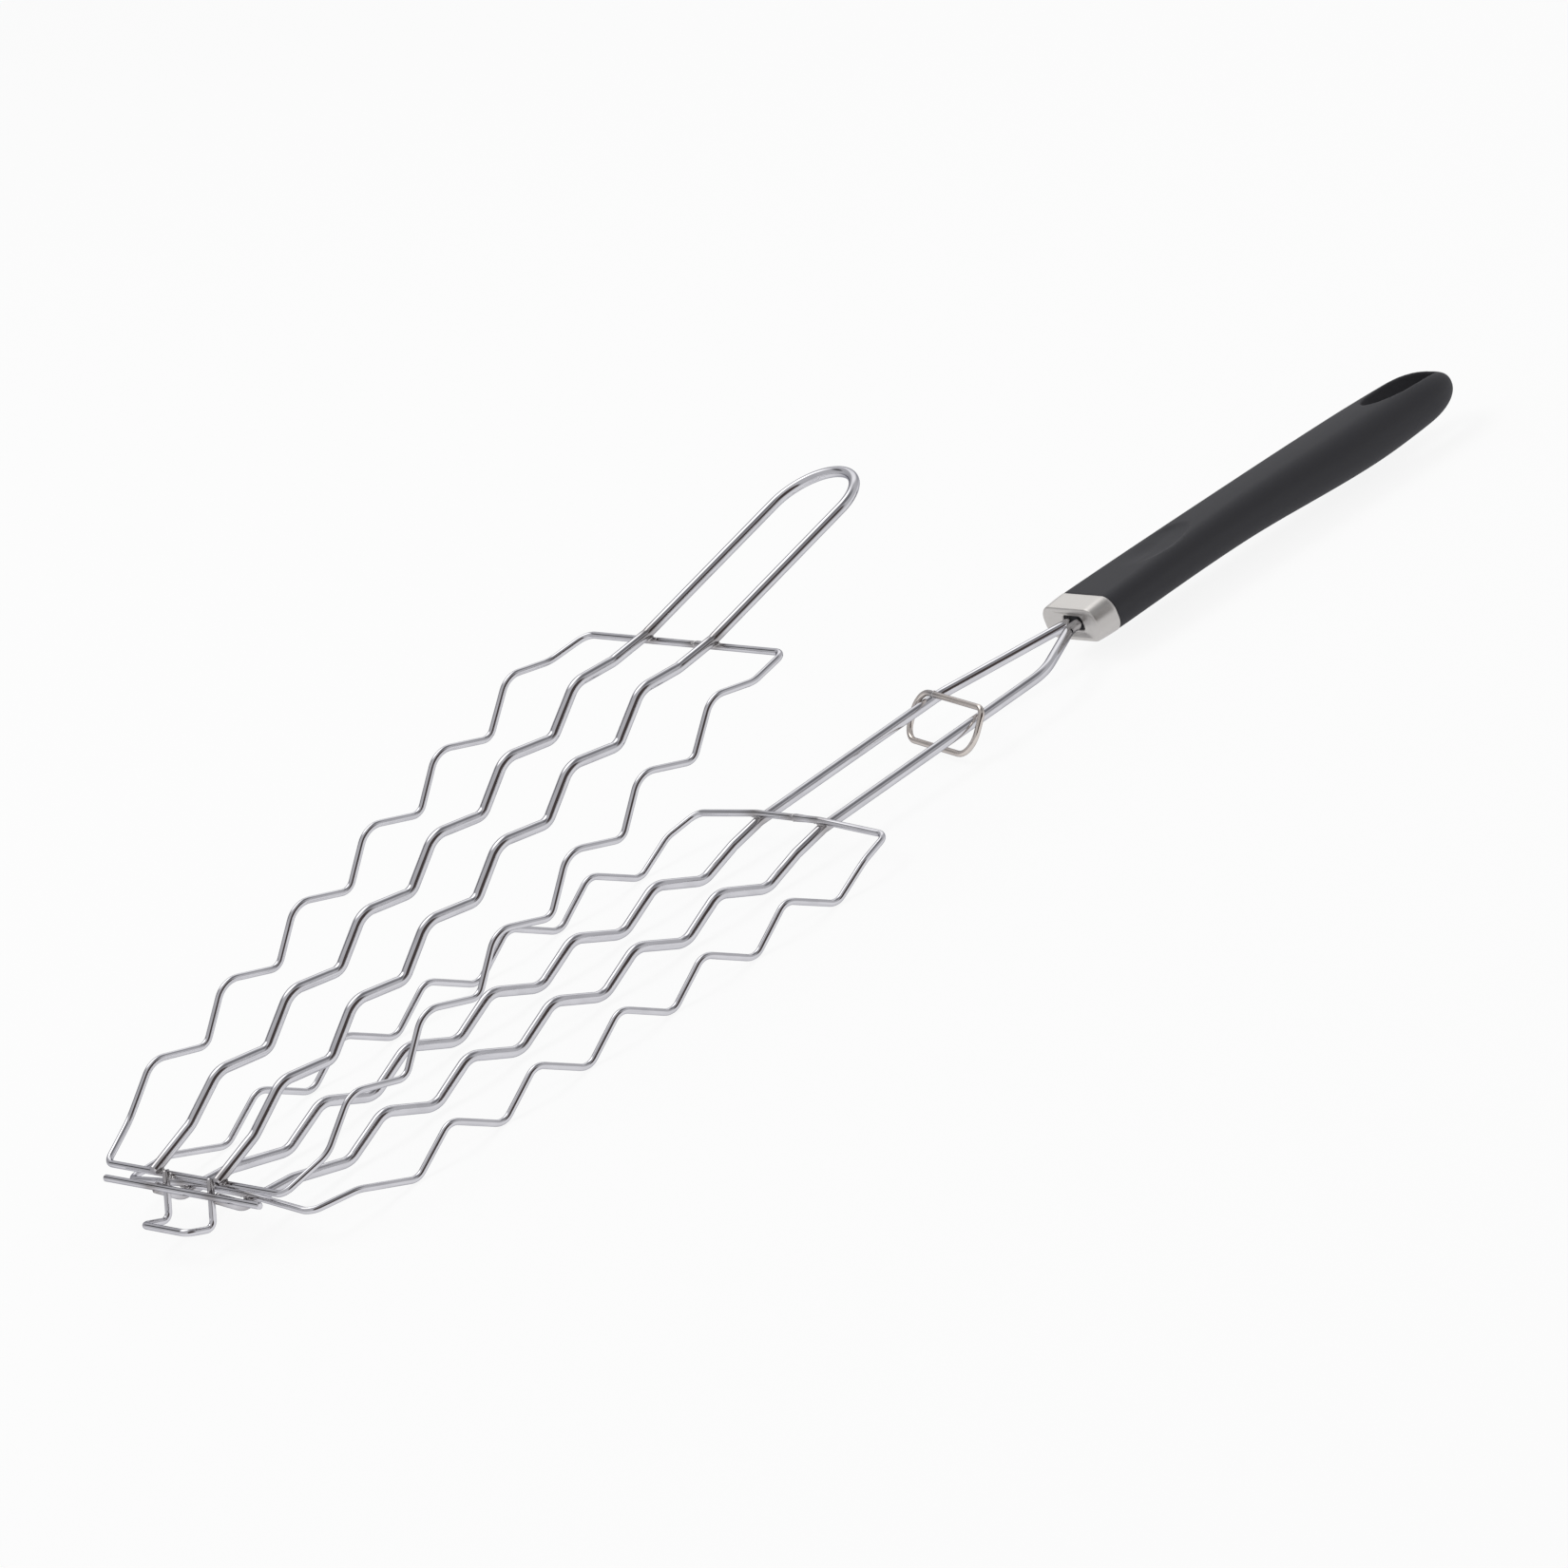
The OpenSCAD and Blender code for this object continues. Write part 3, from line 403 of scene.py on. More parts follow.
    def loop_point(self, along, y):
        slope = self.stem.loop_slope
        return Vector((self.lid_rear + along * math.cos(slope), y, self.rod_offset - along * math.sin(slope)))

    def lid_loop_route(self):
        """Middle line of the lid's two rods and the round loop that joins them."""
        grid, stem = self.grid, self.stem
        half = grid.lid_spacing / 2
        over = self.hinge.lid_overrun
        line = self.waves(
            grid.lid_first, grid.rod_trough_depth, grid.lid_rod_trough_r, grid.lid_rod_crest_r
        )
        steps = 40
        arc = [
            self.loop_point(
                stem.loop_length + half * math.sin(math.pi * k / steps), half * math.cos(math.pi * k / steps)
            )
            for k in range(steps + 1)
        ]
        start = Vector((-over * math.cos(self.front_slope), half,
                        self.rod_offset - over * math.sin(self.front_slope)))
        path = [
            start,
            *(Vector((x, half, self.rod_offset - z)) for x, z, r in line),
            self.loop_point(0.0, half),
            arc[0],
        ]
        side = rounded(path, [*(r for x, z, r in line), grid.knee_r])[:-1]
        return side + arc + [Vector((p.x, -p.y, p.z)) for p in reversed(side)]

    def hook_route(self):
        """Middle line of the bent hook, in the lid's frame."""
        hinge = self.hinge
        half, foot = hinge.hook_width / 2, self.hook_gap - hinge.hook_foot
        path = [
            self.on_hook(self.hook_gap, half, -self.hook_rise),
            self.on_hook(self.hook_gap, half, hinge.hook_drop),
            self.on_hook(foot, half, hinge.hook_drop),
            self.on_hook(foot, -half, hinge.hook_drop),
            self.on_hook(self.hook_gap, -half, hinge.hook_drop),
            self.on_hook(self.hook_gap, -half, -self.hook_rise),
        ]
        return rounded(path, [hinge.hook_r] * 4)

    def on_hook(self, across, y, down):
        lean = self.hook_lean
        return Vector((
            across * math.cos(lean) - down * math.sin(lean) - self.hinge.lid_reach,
            y,
            -across * math.sin(lean) - down * math.cos(lean),
        ))

    def ring_route(self):
        """Middle line of the locking ring, in its own plane."""
        ring, gap = self.ring, self.grid.butt_gap / 2
        half, up = ring.width / 2, ring.height / 2
        path = [
            (up, ring.butt - gap, 0.0), (up, -half, 0.0), (-up, -half, 0.0),
            (-up, half, 0.0), (up, half, 0.0), (up, ring.butt + gap, 0.0),
        ]
        radii = [ring.top_right_r, ring.bottom_right_r, ring.bottom_left_r, ring.top_left_r]
        return rounded([Vector(p) for p in path], radii)

    def base_crossings(self):
        """Welds of the base's rods to its cross bars: where each named weld lies."""
        grid = self.grid
        y, z = grid.base_spacing / 2, grid.bow - grid.wire_d / 2
        return {
            "base_front_left_weld": Vector((0.0, y, z)),
            "base_front_right_weld": Vector((0.0, -y, z)),
            "base_rear_left_weld": Vector((self.base_rear, y, z)),
            "base_rear_right_weld": Vector((self.base_rear, -y, z)),
        }

    def bar_crossings(self):
        y = self.grid.base_spacing / 2
        touch = self.bar - self.rise_way * self.hinge.bar_d / 2
        return {
            "hinge_bar_left_weld": touch + Vector((0.0, y, 0.0)),
            "hinge_bar_right_weld": touch - Vector((0.0, y, 0.0)),
        }

    def lid_crossings(self):
        y, z = self.grid.lid_spacing / 2, self.grid.wire_d / 2
        return {
            "lid_front_left_weld": Vector((0.0, y, z)),
            "lid_front_right_weld": Vector((0.0, -y, z)),
            "lid_rear_left_weld": Vector((self.lid_rear, y, z)),
            "lid_rear_right_weld": Vector((self.lid_rear, -y, z)),
        }

    def hook_crossings(self):
        r, y = self.grid.wire_d / 2, self.hinge.hook_width / 2
        middle = Vector((-r * math.cos(self.hook_lean), 0.0, r * math.sin(self.hook_lean)))
        return {
            "hook_left_weld": middle + Vector((0.0, y, 0.0)),
            "hook_right_weld": middle - Vector((0.0, y, 0.0)),
        }

    def butts(self):
        """Butt joints of the two frame wires, each in its own grid's frame."""
        grid = self.grid
        return {
            "base_butt_weld": Vector((self.base_rear, -grid.base_butt, grid.bow)),
            "lid_butt_weld": Vector((self.lid_rear, -grid.lid_butt, 0.0)),
        }


def rounded(path, radii):
    """A path with its corners rounded: one radius for each corner between the ends."""
    route = [path[0]]
    for i, radius in enumerate(radii, start=1):
        route.extend(bend(path[i - 1], path[i], path[i + 1], radius))
    route.append(path[-1])
    return route


def bend(before, corner, after, radius):
    """Points of a round bend, or the corner alone where the path runs straight on."""
    along, onward = (corner - before).normalized(), (after - corner).normalized()
    if along.dot(onward) > 0.9999999:
        return [corner]
    turn = along.angle(onward)
    inward = (onward - along * onward.dot(along)).normalized()
    centre = corner - along * radius * math.tan(turn / 2) + inward * radius
    steps = [turn * k / BEND_CHORDS for k in range(BEND_CHORDS + 1)]
    return [centre - inward * radius * math.cos(a) + along * radius * math.sin(a) for a in steps]


def filled(route):
    """The route with points added where a chord is long."""
    points = [route[0]]
    for a, b in zip(route, route[1:]):
        parts = max(1, math.ceil((b - a).length / LONGEST_CHORD))
        points.extend(a.lerp(b, k / parts) for k in range(1, parts + 1))
    return points


def headings_of(route):
    ways = [(b - a).normalized() for a, b in zip(route, route[1:])]
    return [ways[0]] + [(a + b).normalized() for a, b in zip(ways, ways[1:])] + [ways[-1]]


def sideways_of(headings):
    """Sideways vectors that turn with the route and never twist about it."""
    first = headings[0]
    up = Vector((0, 0, 1)) if abs(first.z) < 0.8 else Vector((1, 0, 0))
    side = up.cross(first).normalized()
    sides = [side]
    for a, b in zip(headings, headings[1:]):
        side = side - (a + b) * (b.dot(side) / (1 + a.dot(b)))
        side.normalize()
        sides.append(side)
    return sides


def new_object(name, mesh):
    obj = bpy.data.objects.new(name, mesh)
    bpy.context.scene.collection.objects.link(obj)
    return obj


def dress(obj, body, nodes, material):
    """Gives a piece its finish and its body, hides the CAD nodes that it replaces, and keeps it inside the CAD's box.
    """
    low, high = CAD_BOX
    for vertex in obj.data.vertices:
        vertex.co = [min(max(value, a), b) for value, a, b in zip(vertex.co, low, high)]
    obj.data.materials.clear()
    obj.data.materials.append(material)
    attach(obj, body)
    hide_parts(*nodes)
    return obj


def set_attribute(mesh, name, kind, values):
    """Keeps a number or vector for each vertex under a name that the materials read."""
    layer = mesh.attributes.new(name, kind, "POINT")
    layer.data.foreach_set("vector" if kind == "FLOAT_VECTOR" else "value", values)


def tube(name, route, diameter, matrix, hot=(), seed=0, swell=0.0, swell_end=0.0):
    """Bent wire: round section with press flats inside its bends, slight waver and chamfered ends.

    hot are the welds on it, in the route's frame. swell thickens its first few millimetres, as at a butt joint.
    """
    route = filled(route)
    headings = headings_of(route)
    sides = sideways_of(headings)
    radius = diameter / 2
    turns = [2 * math.pi * k / WIRE_SIDES for k in range(WIRE_SIDES)]
    verts, place, heat = [], [], []
    travelled = 0.0
    last = len(route) - 1
    spread = sum((b - a).length for a, b in zip(route, route[1:]))
    rings = []
    for i, point in enumerate(route):
        if i:
            travelled += (point - route[i - 1]).length
        before, after = headings[max(i - 1, 0)], headings[min(i + 1, last)]
        gap = (route[min(i + 1, last)] - route[max(i - 1, 0)]).length
        curl = (after - before) / gap
        press = PRESS_FLAT * min(1.0, curl.length * radius * 3.0)
        inward = curl.normalized() if curl.length > 1.0 else Vector((0, 0, 0))
        thick = 1.0 + WAVER * noise.noise(Vector((travelled * 60.0, seed, 0.3)))
        thick += swell * max(0.0, 1.0 - travelled / swell_end) ** 0.5 if swell_end else 0.0
        glow = max((math.exp(-((point - w).length / HEAT_REACH) ** 2) for w in hot), default=0.0)
        rings.append((point, i, thick, press, inward, travelled, glow))
        if i == 0 or i == last:
            cut = headings[i] * radius * END_CHAMFER * (1 if i == 0 else -1)
            inner = (point + cut, i, thick, press, inward, travelled, glow)
            outer = (point, i, thick * (1 - END_CHAMFER), press, inward, travelled, glow)
            rings[-1:] = [outer, inner] if i == 0 else [inner, outer]
    for point, i, thick, press, inward, along, glow in rings:
        side, over = sides[i], headings[i].cross(sides[i])
        for k, a in enumerate(turns):
            out = side * math.cos(a) + over * math.sin(a)
            facing = max(0.0, out.dot(inward))
            ripple = WAVER * noise.noise(Vector((out.x, out.y + seed, along * 60.0 + out.z)))
            verts.append(matrix @ (point + out * radius * (thick + ripple - press * facing ** 2)))
            place.extend((math.cos(a) * radius, math.sin(a) * radius, along))
            heat.append(glow)
    count, n = len(rings), WIRE_SIDES
    faces = [
        (i * n + k, i * n + (k + 1) % n, (i + 1) * n + (k + 1) % n, (i + 1) * n + k)
        for i in range(count - 1) for k in range(n)
    ]
    faces.append(tuple(reversed(range(n))))
    faces.append(tuple((count - 1) * n + k for k in range(n)))
    mesh = bpy.data.meshes.new(name)
    mesh.from_pydata(verts, [], faces)
    mesh.validate()
    mesh.shade_smooth()
    mesh.set_sharp_from_angle(angle=math.radians(35))
    set_attribute(mesh, "wire_place", "FLOAT_VECTOR", place)
    set_attribute(mesh, "weld_heat", "FLOAT", heat)
    return new_object(name, mesh)


def add_bead(bm, place, size, seed):
    """Adds one lumpy bead to a mesh: a ball stretched to size and roughened by noise."""
    made = bmesh.ops.create_icosphere(bm, subdivisions=3, radius=1.0)
    shift = Vector((seed * 3.7, seed * 1.3, 0.0))
    for v in made["verts"]:
        lump = 1.0 + 0.3 * noise.noise(v.co * 1.3 + shift) + 0.1 * noise.noise(v.co * 4.0 + shift)
        v.co = Vector((v.co.x * size[0], v.co.y * size[1], v.co.z * size[2])) * lump + place


def beads(name, welds, matrix, bar_d, rod_d, spatter=2):
    """Welds at crossings: a squeezed-out bead between the wires, with small spatter on the bar."""
    bm = bmesh.new()
    chance = random.Random(len(name))
    for index, place in enumerate(welds):
        add_bead(bm, place, (rod_d * 0.36, rod_d * 0.44, bar_d * 0.36), index + chance.random())
        for _ in range(spatter):
            side = chance.choice((-1, 1))
            off = Vector((
                chance.uniform(-0.3, 0.3) * bar_d,
                side * chance.uniform(0.55, 0.95) * rod_d,
                chance.uniform(-0.1, 0.35) * bar_d,
            ))
            size = chance.uniform(0.12, 0.22) * bar_d
            add_bead(bm, place + off, (size * 1.3, size * 1.6, size), chance.random() * 9)
    bm.transform(matrix)
    for face in bm.faces:
        face.smooth = True
    mesh = bpy.data.meshes.new(name)
    bm.to_mesh(mesh)
    bm.free()
    return new_object(name, mesh)


def rounded_box(width, height, radius, count):
    """Points of a rounded rectangle, evenly spaced around it from the middle of its right side."""
    radius = min(radius, width / 2, height / 2)
    flat_y, flat_z = width / 2 - radius, height / 2 - radius
    quarter = math.pi * radius / 2
    total = 4 * (flat_y + flat_z + quarter)
    points = []
    for i in range(count):
        t = total * i / count
        quadrant, t = divmod(t, total / 4)
        mirror = int(quadrant) % 2
        if mirror:
            t = total / 4 - t
        if t < flat_z:
            y, z = width / 2, t
        elif t < flat_z + quarter:
            a = (t - flat_z) / radius
            y, z = flat_y + radius * math.cos(a), flat_z + radius * math.sin(a)
        else:
            y, z = flat_y - (t - flat_z - quarter), height / 2
        left, low = int(quadrant) in (1, 2), int(quadrant) in (2, 3)
        points.append((-y if left else y, -z if low else z))
    return points


def loft(name, rings, matrix, looped=False, capped=True):
    """Skin through rings of points, capped at its ends or closed on itself."""
    n = len(rings[0])
    verts = [matrix @ p for ring in rings for p in ring]
    spans = len(rings) if looped else len(rings) - 1
    faces = [
        (i * n + k, (i + 1) % len(rings) * n + k, (i + 1) % len(rings) * n + (k + 1) % n, i * n + (k + 1) % n)
        for i in range(spans) for k in range(n)
    ]
    if capped and not looped:
        faces.append(tuple(range(n)))
        faces.append(tuple((len(rings) - 1) * n + k for k in reversed(range(n))))
    mesh = bpy.data.meshes.new(name)
    mesh.from_pydata(verts, [], faces)
    bm = bmesh.new()
    bm.from_mesh(mesh)
    bmesh.ops.recalc_face_normals(bm, faces=bm.faces)
    bm.to_mesh(mesh)
    bm.free()
    mesh.shade_smooth()
    return new_object(name, mesh)


def ferrule_rings(plan):
    """Rings of the ferrule's skin: hole, dish, flat rim, rounded edge, outside, and back inside."""
    f, g = plan.ferrule, plan.grip
    count = 4 * QUARTER_POINTS * 2
    corner = f.front_height * g.corner_share
    inside = f.place + f.dish + f.wall

    def ring(x, width, height, radius):
        return [Vector((x, y, z)) for y, z in rounded_box(width, height, radius, count)]

    rings = [ring(inside, f.hole_width, f.hole_height, f.hole_r)]
    outer_w = f.front_width - 2 * (f.rim + f.land)
    outer_h = f.front_height - 2 * (f.rim + f.land)
    lip = 0.0004
    rings.append(ring(f.place + f.dish + lip, f.hole_width, f.hole_height, f.hole_r))
    steps = 14
    for k in range(steps + 1):
        t = k / steps
        ease = t * t * (3 - 2 * t)
        rings.append(ring(
            f.place + f.dish * (1 - ease),
            f.hole_width + 2 * lip + (outer_w - f.hole_width - 2 * lip) * t,
            f.hole_height + 2 * lip + (outer_h - f.hole_height - 2 * lip) * t,
            f.hole_r + lip + (corner - f.rim - f.land - f.hole_r - lip) * t,
        ))
    steps = 6
    for k in range(steps + 1):
        a = math.pi / 2 * k / steps
        pull = f.rim * (1 - math.sin(a))
        rings.append(ring(
            f.place + f.rim * (1 - math.cos(a)),
            f.front_width - 2 * pull, f.front_height - 2 * pull, corner - pull,
        ))
    back = f.place + f.length
    back_corner = g.front_height * g.corner_share
    steps = 8
    for k in range(1, steps + 1):
        t = k / steps
        belly = 1 - (1 - t) ** 1.6
        rings.append(ring(
            f.place + f.rim + (f.length - f.rim - 0.0003) * t,
            f.front_width + (g.front_width - f.front_width) * belly,
            f.front_height + (g.front_height - f.front_height) * belly,
            corner + (back_corner - corner) * belly,
        ))
    rings.append(ring(back, g.front_width - 0.0004, g.front_height - 0.0004, back_corner - 0.0002))
    rings.append(ring(back, g.front_width - 2 * f.wall, g.front_height - 2 * f.wall, back_corner - f.wall))
    rings.append(ring(inside, f.front_width - 2 * f.wall, f.front_height - 2 * f.wall, corner - f.wall))
    return rings


def station_value(plan, x, k):
    """Width, height or drop of the grip at distance x, by smooth cubic pieces between its stations."""
    g = plan.grip
    stations = (
        (0.0, g.front_width, g.front_height, 0.0),
        (g.waist_place, g.waist_width, g.waist_height, g.waist_drop),
        (g.belly_place, g.belly_width, g.belly_height, g.belly_drop),
        (g.grip_length, g.tip_width, g.tip_height, g.tip_drop),
    )

    def slope(i):
        a, b = stations[max(i - 1, 0)], stations[min(i + 1, len(stations) - 1)]
        whole = (b[k] - a[k]) / (b[0] - a[0])
        return whole / 2 if i == 0 else whole

    i = 0 if x < g.waist_place else 1 if x < g.belly_place else 2
    near, far = stations[i], stations[i + 1]
    span = far[0] - near[0]
    t = (x - near[0]) / span
    ease = t * t * (3 - 2 * t)
    pull = span * t * (1 - t) * (slope(i) * (1 - t) - slope(i + 1) * t)
    return near[k] + (far[k] - near[k]) * ease + pull


def tip_share(plan, x):
    """Shrink of the sections over the rounded tip."""
    g = plan.grip
    t = max(0.0, (x - g.grip_length + g.tip_round) / g.tip_round)
    return math.sqrt(max(0.0015, 1 - t ** g.tip_fullness))


def grip_ring(plan, x, count=GRIP_SIDES):
    """Section of the grip at distance x: a rounded rectangle that turns toward an oval at the belly."""
    g = plan.grip
    shrink = tip_share(plan, x)
    width, height = station_value(plan, x, 1) * shrink, station_value(plan, x, 2) * shrink
    drop = station_value(plan, x, 3)
    t = min(1.0, x / g.belly_place)
    oval = g.front_oval + (g.belly_oval - g.front_oval) * t * t * (3 - 2 * t)
    ring = []
    for y, z in rounded_box(width, height, height * g.corner_share, count):
        a = math.atan2(z * width, y * height)
        ey, ez = width / 2 * math.cos(a), height / 2 * math.sin(a)
        y, z = y + (ey - y) * oval, z + (ez - z) * oval
        ring.append(Vector((plan.ferrule.place + plan.ferrule.length + x, y, z - drop - dimple_dip(plan, x, y, z))))
    return ring


def dimple_dip(plan, x, y, z):
    """Depth of the thumb dimple, scooped with a crisp edge toward the tip."""
    g = plan.grip
    if z <= 0:
        return 0.0
    u, v = (x - g.dimple_place) / (g.dimple_length / 2), y / (g.dimple_width / 2)
    reach = math.hypot(u, v)
    if reach >= 1:
        return 0.0
    crisp = max(0.0, min(1.0, 0.5 + (0.9 * u - 0.6 * v) / max(reach, 0.05)))
    soft = math.cos(math.pi / 2 * reach) ** 2
    hard = 1 - reach ** 6
    return g.dimple_depth * (soft + (hard - soft) * crisp)


def slot_cutter(plan):
    """Cutter of the hanging slot, flared where it meets the grip's top and underside."""
    g = plan.grip
    start = plan.ferrule.place + plan.ferrule.length
    middle = g.grip_length - g.slot_place
    edge = g.slot_edge
    levels = ((1.0, 0.004, 2.2), (1.0, 0.0, 1.0), (1.0, -0.35, 0.35), (1.0, -1.0, 0.0),
              (-1.0, 1.0, 0.0), (-1.0, 0.35, 0.35), (-1.0, 0.0, 1.0), (-1.0, -0.004, 2.2))
    rings = []
    for side, depth, flare in levels:
        ring = []
        for k in range(SLOT_POINTS):
            a = 2 * math.pi * k / SLOT_POINTS
            x = middle + (g.slot_length / 2 + edge * flare) * math.cos(a)
            y = (g.slot_width / 2 + edge * flare) * math.sin(a)
            height = station_value(plan, min(x, g.grip_length - 0.001), 2) * tip_share(plan, x)
            width = station_value(plan, min(x, g.grip_length - 0.001), 1) * tip_share(plan, x)
            corner = height * g.corner_share
            past = max(0.0, abs(y) - width / 2 + corner)
            top = height / 2 - corner + math.sqrt(max(0.0, corner ** 2 - past ** 2))
            top += (height / 2 * math.sqrt(max(0.0, 1 - (2 * y / width) ** 2)) - top) * g.belly_oval
            lift = depth * edge if abs(depth) >= 0.1 or depth == 0 else depth * side
            if abs(depth) == 0.004:
                lift = depth
            ring.append(Vector((start + x, y, side * top + lift - station_value(plan, x, 3))))
        rings.append(ring)
    return loft("slot_cutter", rings, Matrix.Identity(4))


def bake_modifiers(obj):
    """Applies an object's modifiers and keeps the result as its mesh."""
    depsgraph = bpy.context.evaluated_depsgraph_get()
    made = bpy.data.meshes.new_from_object(obj.evaluated_get(depsgraph))
    obj.modifiers.clear()
    old = obj.data
    obj.data = made
    bpy.data.meshes.remove(old)


def build_grip(plan):
    """The moulded grip: lofted body, hanging slot cut through it, edges rounded by a fine remesh."""
    g, f = plan.grip, plan.ferrule
    nose = f.wall + g.nose_gap
    nose_front = f.place + f.dish + nose
    count = GRIP_SIDES

    def nose_ring(x, width, height):
        return [Vector((x, y, z)) for y, z in rounded_box(width, height, height * g.corner_share, count)]

    rings = [
        nose_ring(nose_front, f.front_width - 2 * nose, f.front_height - 2 * nose),
        nose_ring(f.place + f.length, g.front_width - 2 * nose, g.front_height - 2 * nose),
    ]
    steps = round((g.grip_length - g.tip_round) / GRIP_STEP)
    rings += [grip_ring(plan, (g.grip_length - g.tip_round) * i / steps) for i in range(steps + 1)]
    tip_steps = 34
    rings += [
        grip_ring(plan, g.grip_length - g.tip_round * (1 - i / tip_steps) ** 1.7) for i in range(1, tip_steps + 1)
    ]
    body = loft("grip_body", rings, Matrix.Identity(4))
    cutter = slot_cutter(plan)
    cut = body.modifiers.new("slot", "BOOLEAN")
    cut.operation, cut.object, cut.solver = "DIFFERENCE", cutter, "EXACT"
    remesh = body.modifiers.new("even", "REMESH")
    remesh.mode, remesh.voxel_size, remesh.use_smooth_shade = "VOXEL", GRIP_VOXEL, True
    smooth = body.modifiers.new("soften", "SMOOTH")
    smooth.factor, smooth.iterations = 0.5, 5
    bpy.context.view_layer.update()
    bake_modifiers(body)
    bpy.data.objects.remove(cutter)
    mesh = body.data
    start = f.place + f.length
    parting = [
        v.co.z + station_value(plan, min(max(v.co.x - start, 0.0), g.grip_length), 3) for v in mesh.vertices
    ]
    along = [v.co.x - start for v in mesh.vertices]
    set_attribute(mesh, "from_parting", "FLOAT", parting)
    set_attribute(mesh, "along_grip", "FLOAT", along)
    mesh.transform(plan.grip_to_row)
    mesh.update()
    mesh.shade_smooth()
    return body


class NodeBoard:
    """Short way to place and link shader nodes."""

    def __init__(self, tree):
        self.tree = tree
        tree.nodes.clear()

    def add(self, kind, inputs=None, **settings):
        node = self.tree.nodes.new(kind)
        for key, value in settings.items():
            setattr(node, key, value)
        for key, value in (inputs or {}).items():
            if isinstance(value, bpy.types.NodeSocket):
                self.tree.links.new(value, node.inputs[key])
            else:
                node.inputs[key].default_value = value
        return node

    def mix_colour(self, factor, a, b, blend="MIX"):
        node = self.add("ShaderNodeMix", data_type="RGBA", blend_type=blend)
        for index, value in ((0, factor), (6, a), (7, b)):
            if isinstance(value, bpy.types.NodeSocket):
                self.tree.links.new(value, node.inputs[index])
            else:
                node.inputs[index].default_value = value
        return node.outputs[2]

    def math(self, operation, a, b=0.0, clamp=False):
        return self.add("ShaderNodeMath", {0: a, 1: b}, operation=operation, use_clamp=clamp).outputs[0]

    def ranged(self, value, from_min, from_max, to_min=0.0, to_max=1.0, smooth=True):
        return self.add(
            "ShaderNodeMapRange",
            {"Value": value, "From Min": from_min, "From Max": from_max, "To Min": to_min, "To Max": to_max},
            interpolation_type="SMOOTHSTEP" if smooth else "LINEAR",
        ).outputs[0]

    def noise(self, vector, scale, detail=2.0, roughness=0.5):
        return self.add(
            "ShaderNodeTexNoise", {"Vector": vector, "Scale": scale, "Detail": detail, "Roughness": roughness}
        ).outputs["Fac"]


def new_group(name, inputs, outputs):
    """A shader node group with named sockets, and its board, input node and output node."""
    group = bpy.data.node_groups.new(name, "ShaderNodeTree")
    for socket, kind, default in inputs:
        made = group.interface.new_socket(name=socket, in_out="INPUT", socket_type=kind)
        if default is not None:
            made.default_value = default
    for socket, kind in outputs:
        group.interface.new_socket(name=socket, in_out="OUTPUT", socket_type=kind)
    board = NodeBoard(group)
    return group, board, board.add("NodeGroupInput"), board.add("NodeGroupOutput")


def plated_surface_group():
    """Drawn and plated metal: long streaks, smudges, fine drawing lines and heat tint."""
    name = "Plated Surface"
    if name in bpy.data.node_groups:
        return bpy.data.node_groups[name]
    group, board, into, out = new_group(
        name,
        (
            ("Place", "NodeSocketVector", None),
            ("Bright", "NodeSocketColor", (0.7, 0.7, 0.7, 1)),
            ("Shade", "NodeSocketColor", (0.5, 0.5, 0.5, 1)),
            ("Burnt", "NodeSocketColor", (0.4, 0.4, 0.4, 1)),
            ("Heat", "NodeSocketFloat", 0.0),
            ("Least Roughness", "NodeSocketFloat", 0.08),
            ("Most Roughness", "NodeSocketFloat", 0.2),
        ),
        (("Colour", "NodeSocketColor"), ("Roughness", "NodeSocketFloat"), ("Height", "NodeSocketFloat")),
    )
    stretched = board.add(
        "ShaderNodeVectorMath", {0: into.outputs["Place"], 1: (1.0, 1.0, 0.045)}, operation="MULTIPLY"
    ).outputs[0]
    streaks = board.noise(stretched, 1500.0, 3.0, 0.6)
    patches = board.noise(into.outputs["Place"], 90.0, 2.0, 0.5)
    pits = board.noise(into.outputs["Place"], 1400.0, 1.0, 0.5)
    streak = board.ranged(streaks, 0.42, 0.72)
    patch = board.ranged(patches, 0.45, 0.7)
    pit = board.ranged(pits, 0.66, 0.8)
    dull = board.math("MAXIMUM", board.math("MULTIPLY", streak, 0.55), board.math("MULTIPLY", patch, 0.4))
    plain = board.mix_colour(dull, into.outputs["Bright"], into.outputs["Shade"])
    mottled = board.math("MULTIPLY", into.outputs["Heat"], board.ranged(patches, 0.2, 0.6, 0.5, 1.0))
    burnt = board.mix_colour(mottled, plain, into.outputs["Burnt"])
    rough = board.math("MAXIMUM", board.math("MULTIPLY", dull, 0.8), into.outputs["Heat"])
    roughness = board.add(
        "ShaderNodeMapRange",
        {"Value": rough, "To Min": into.outputs["Least Roughness"], "To Max": into.outputs["Most Roughness"]},
    ).outputs[0]
    relief = board.math("SUBTRACT", board.math("MULTIPLY", streaks, 0.5), board.math("MULTIPLY", pit, 0.6))
    relief = board.math("ADD", relief, board.math("MULTIPLY", patches, 0.8))
    board.tree.links.new(burnt, out.inputs["Colour"])
    board.tree.links.new(roughness, out.inputs["Roughness"])
    board.tree.links.new(relief, out.inputs["Height"])
    return group


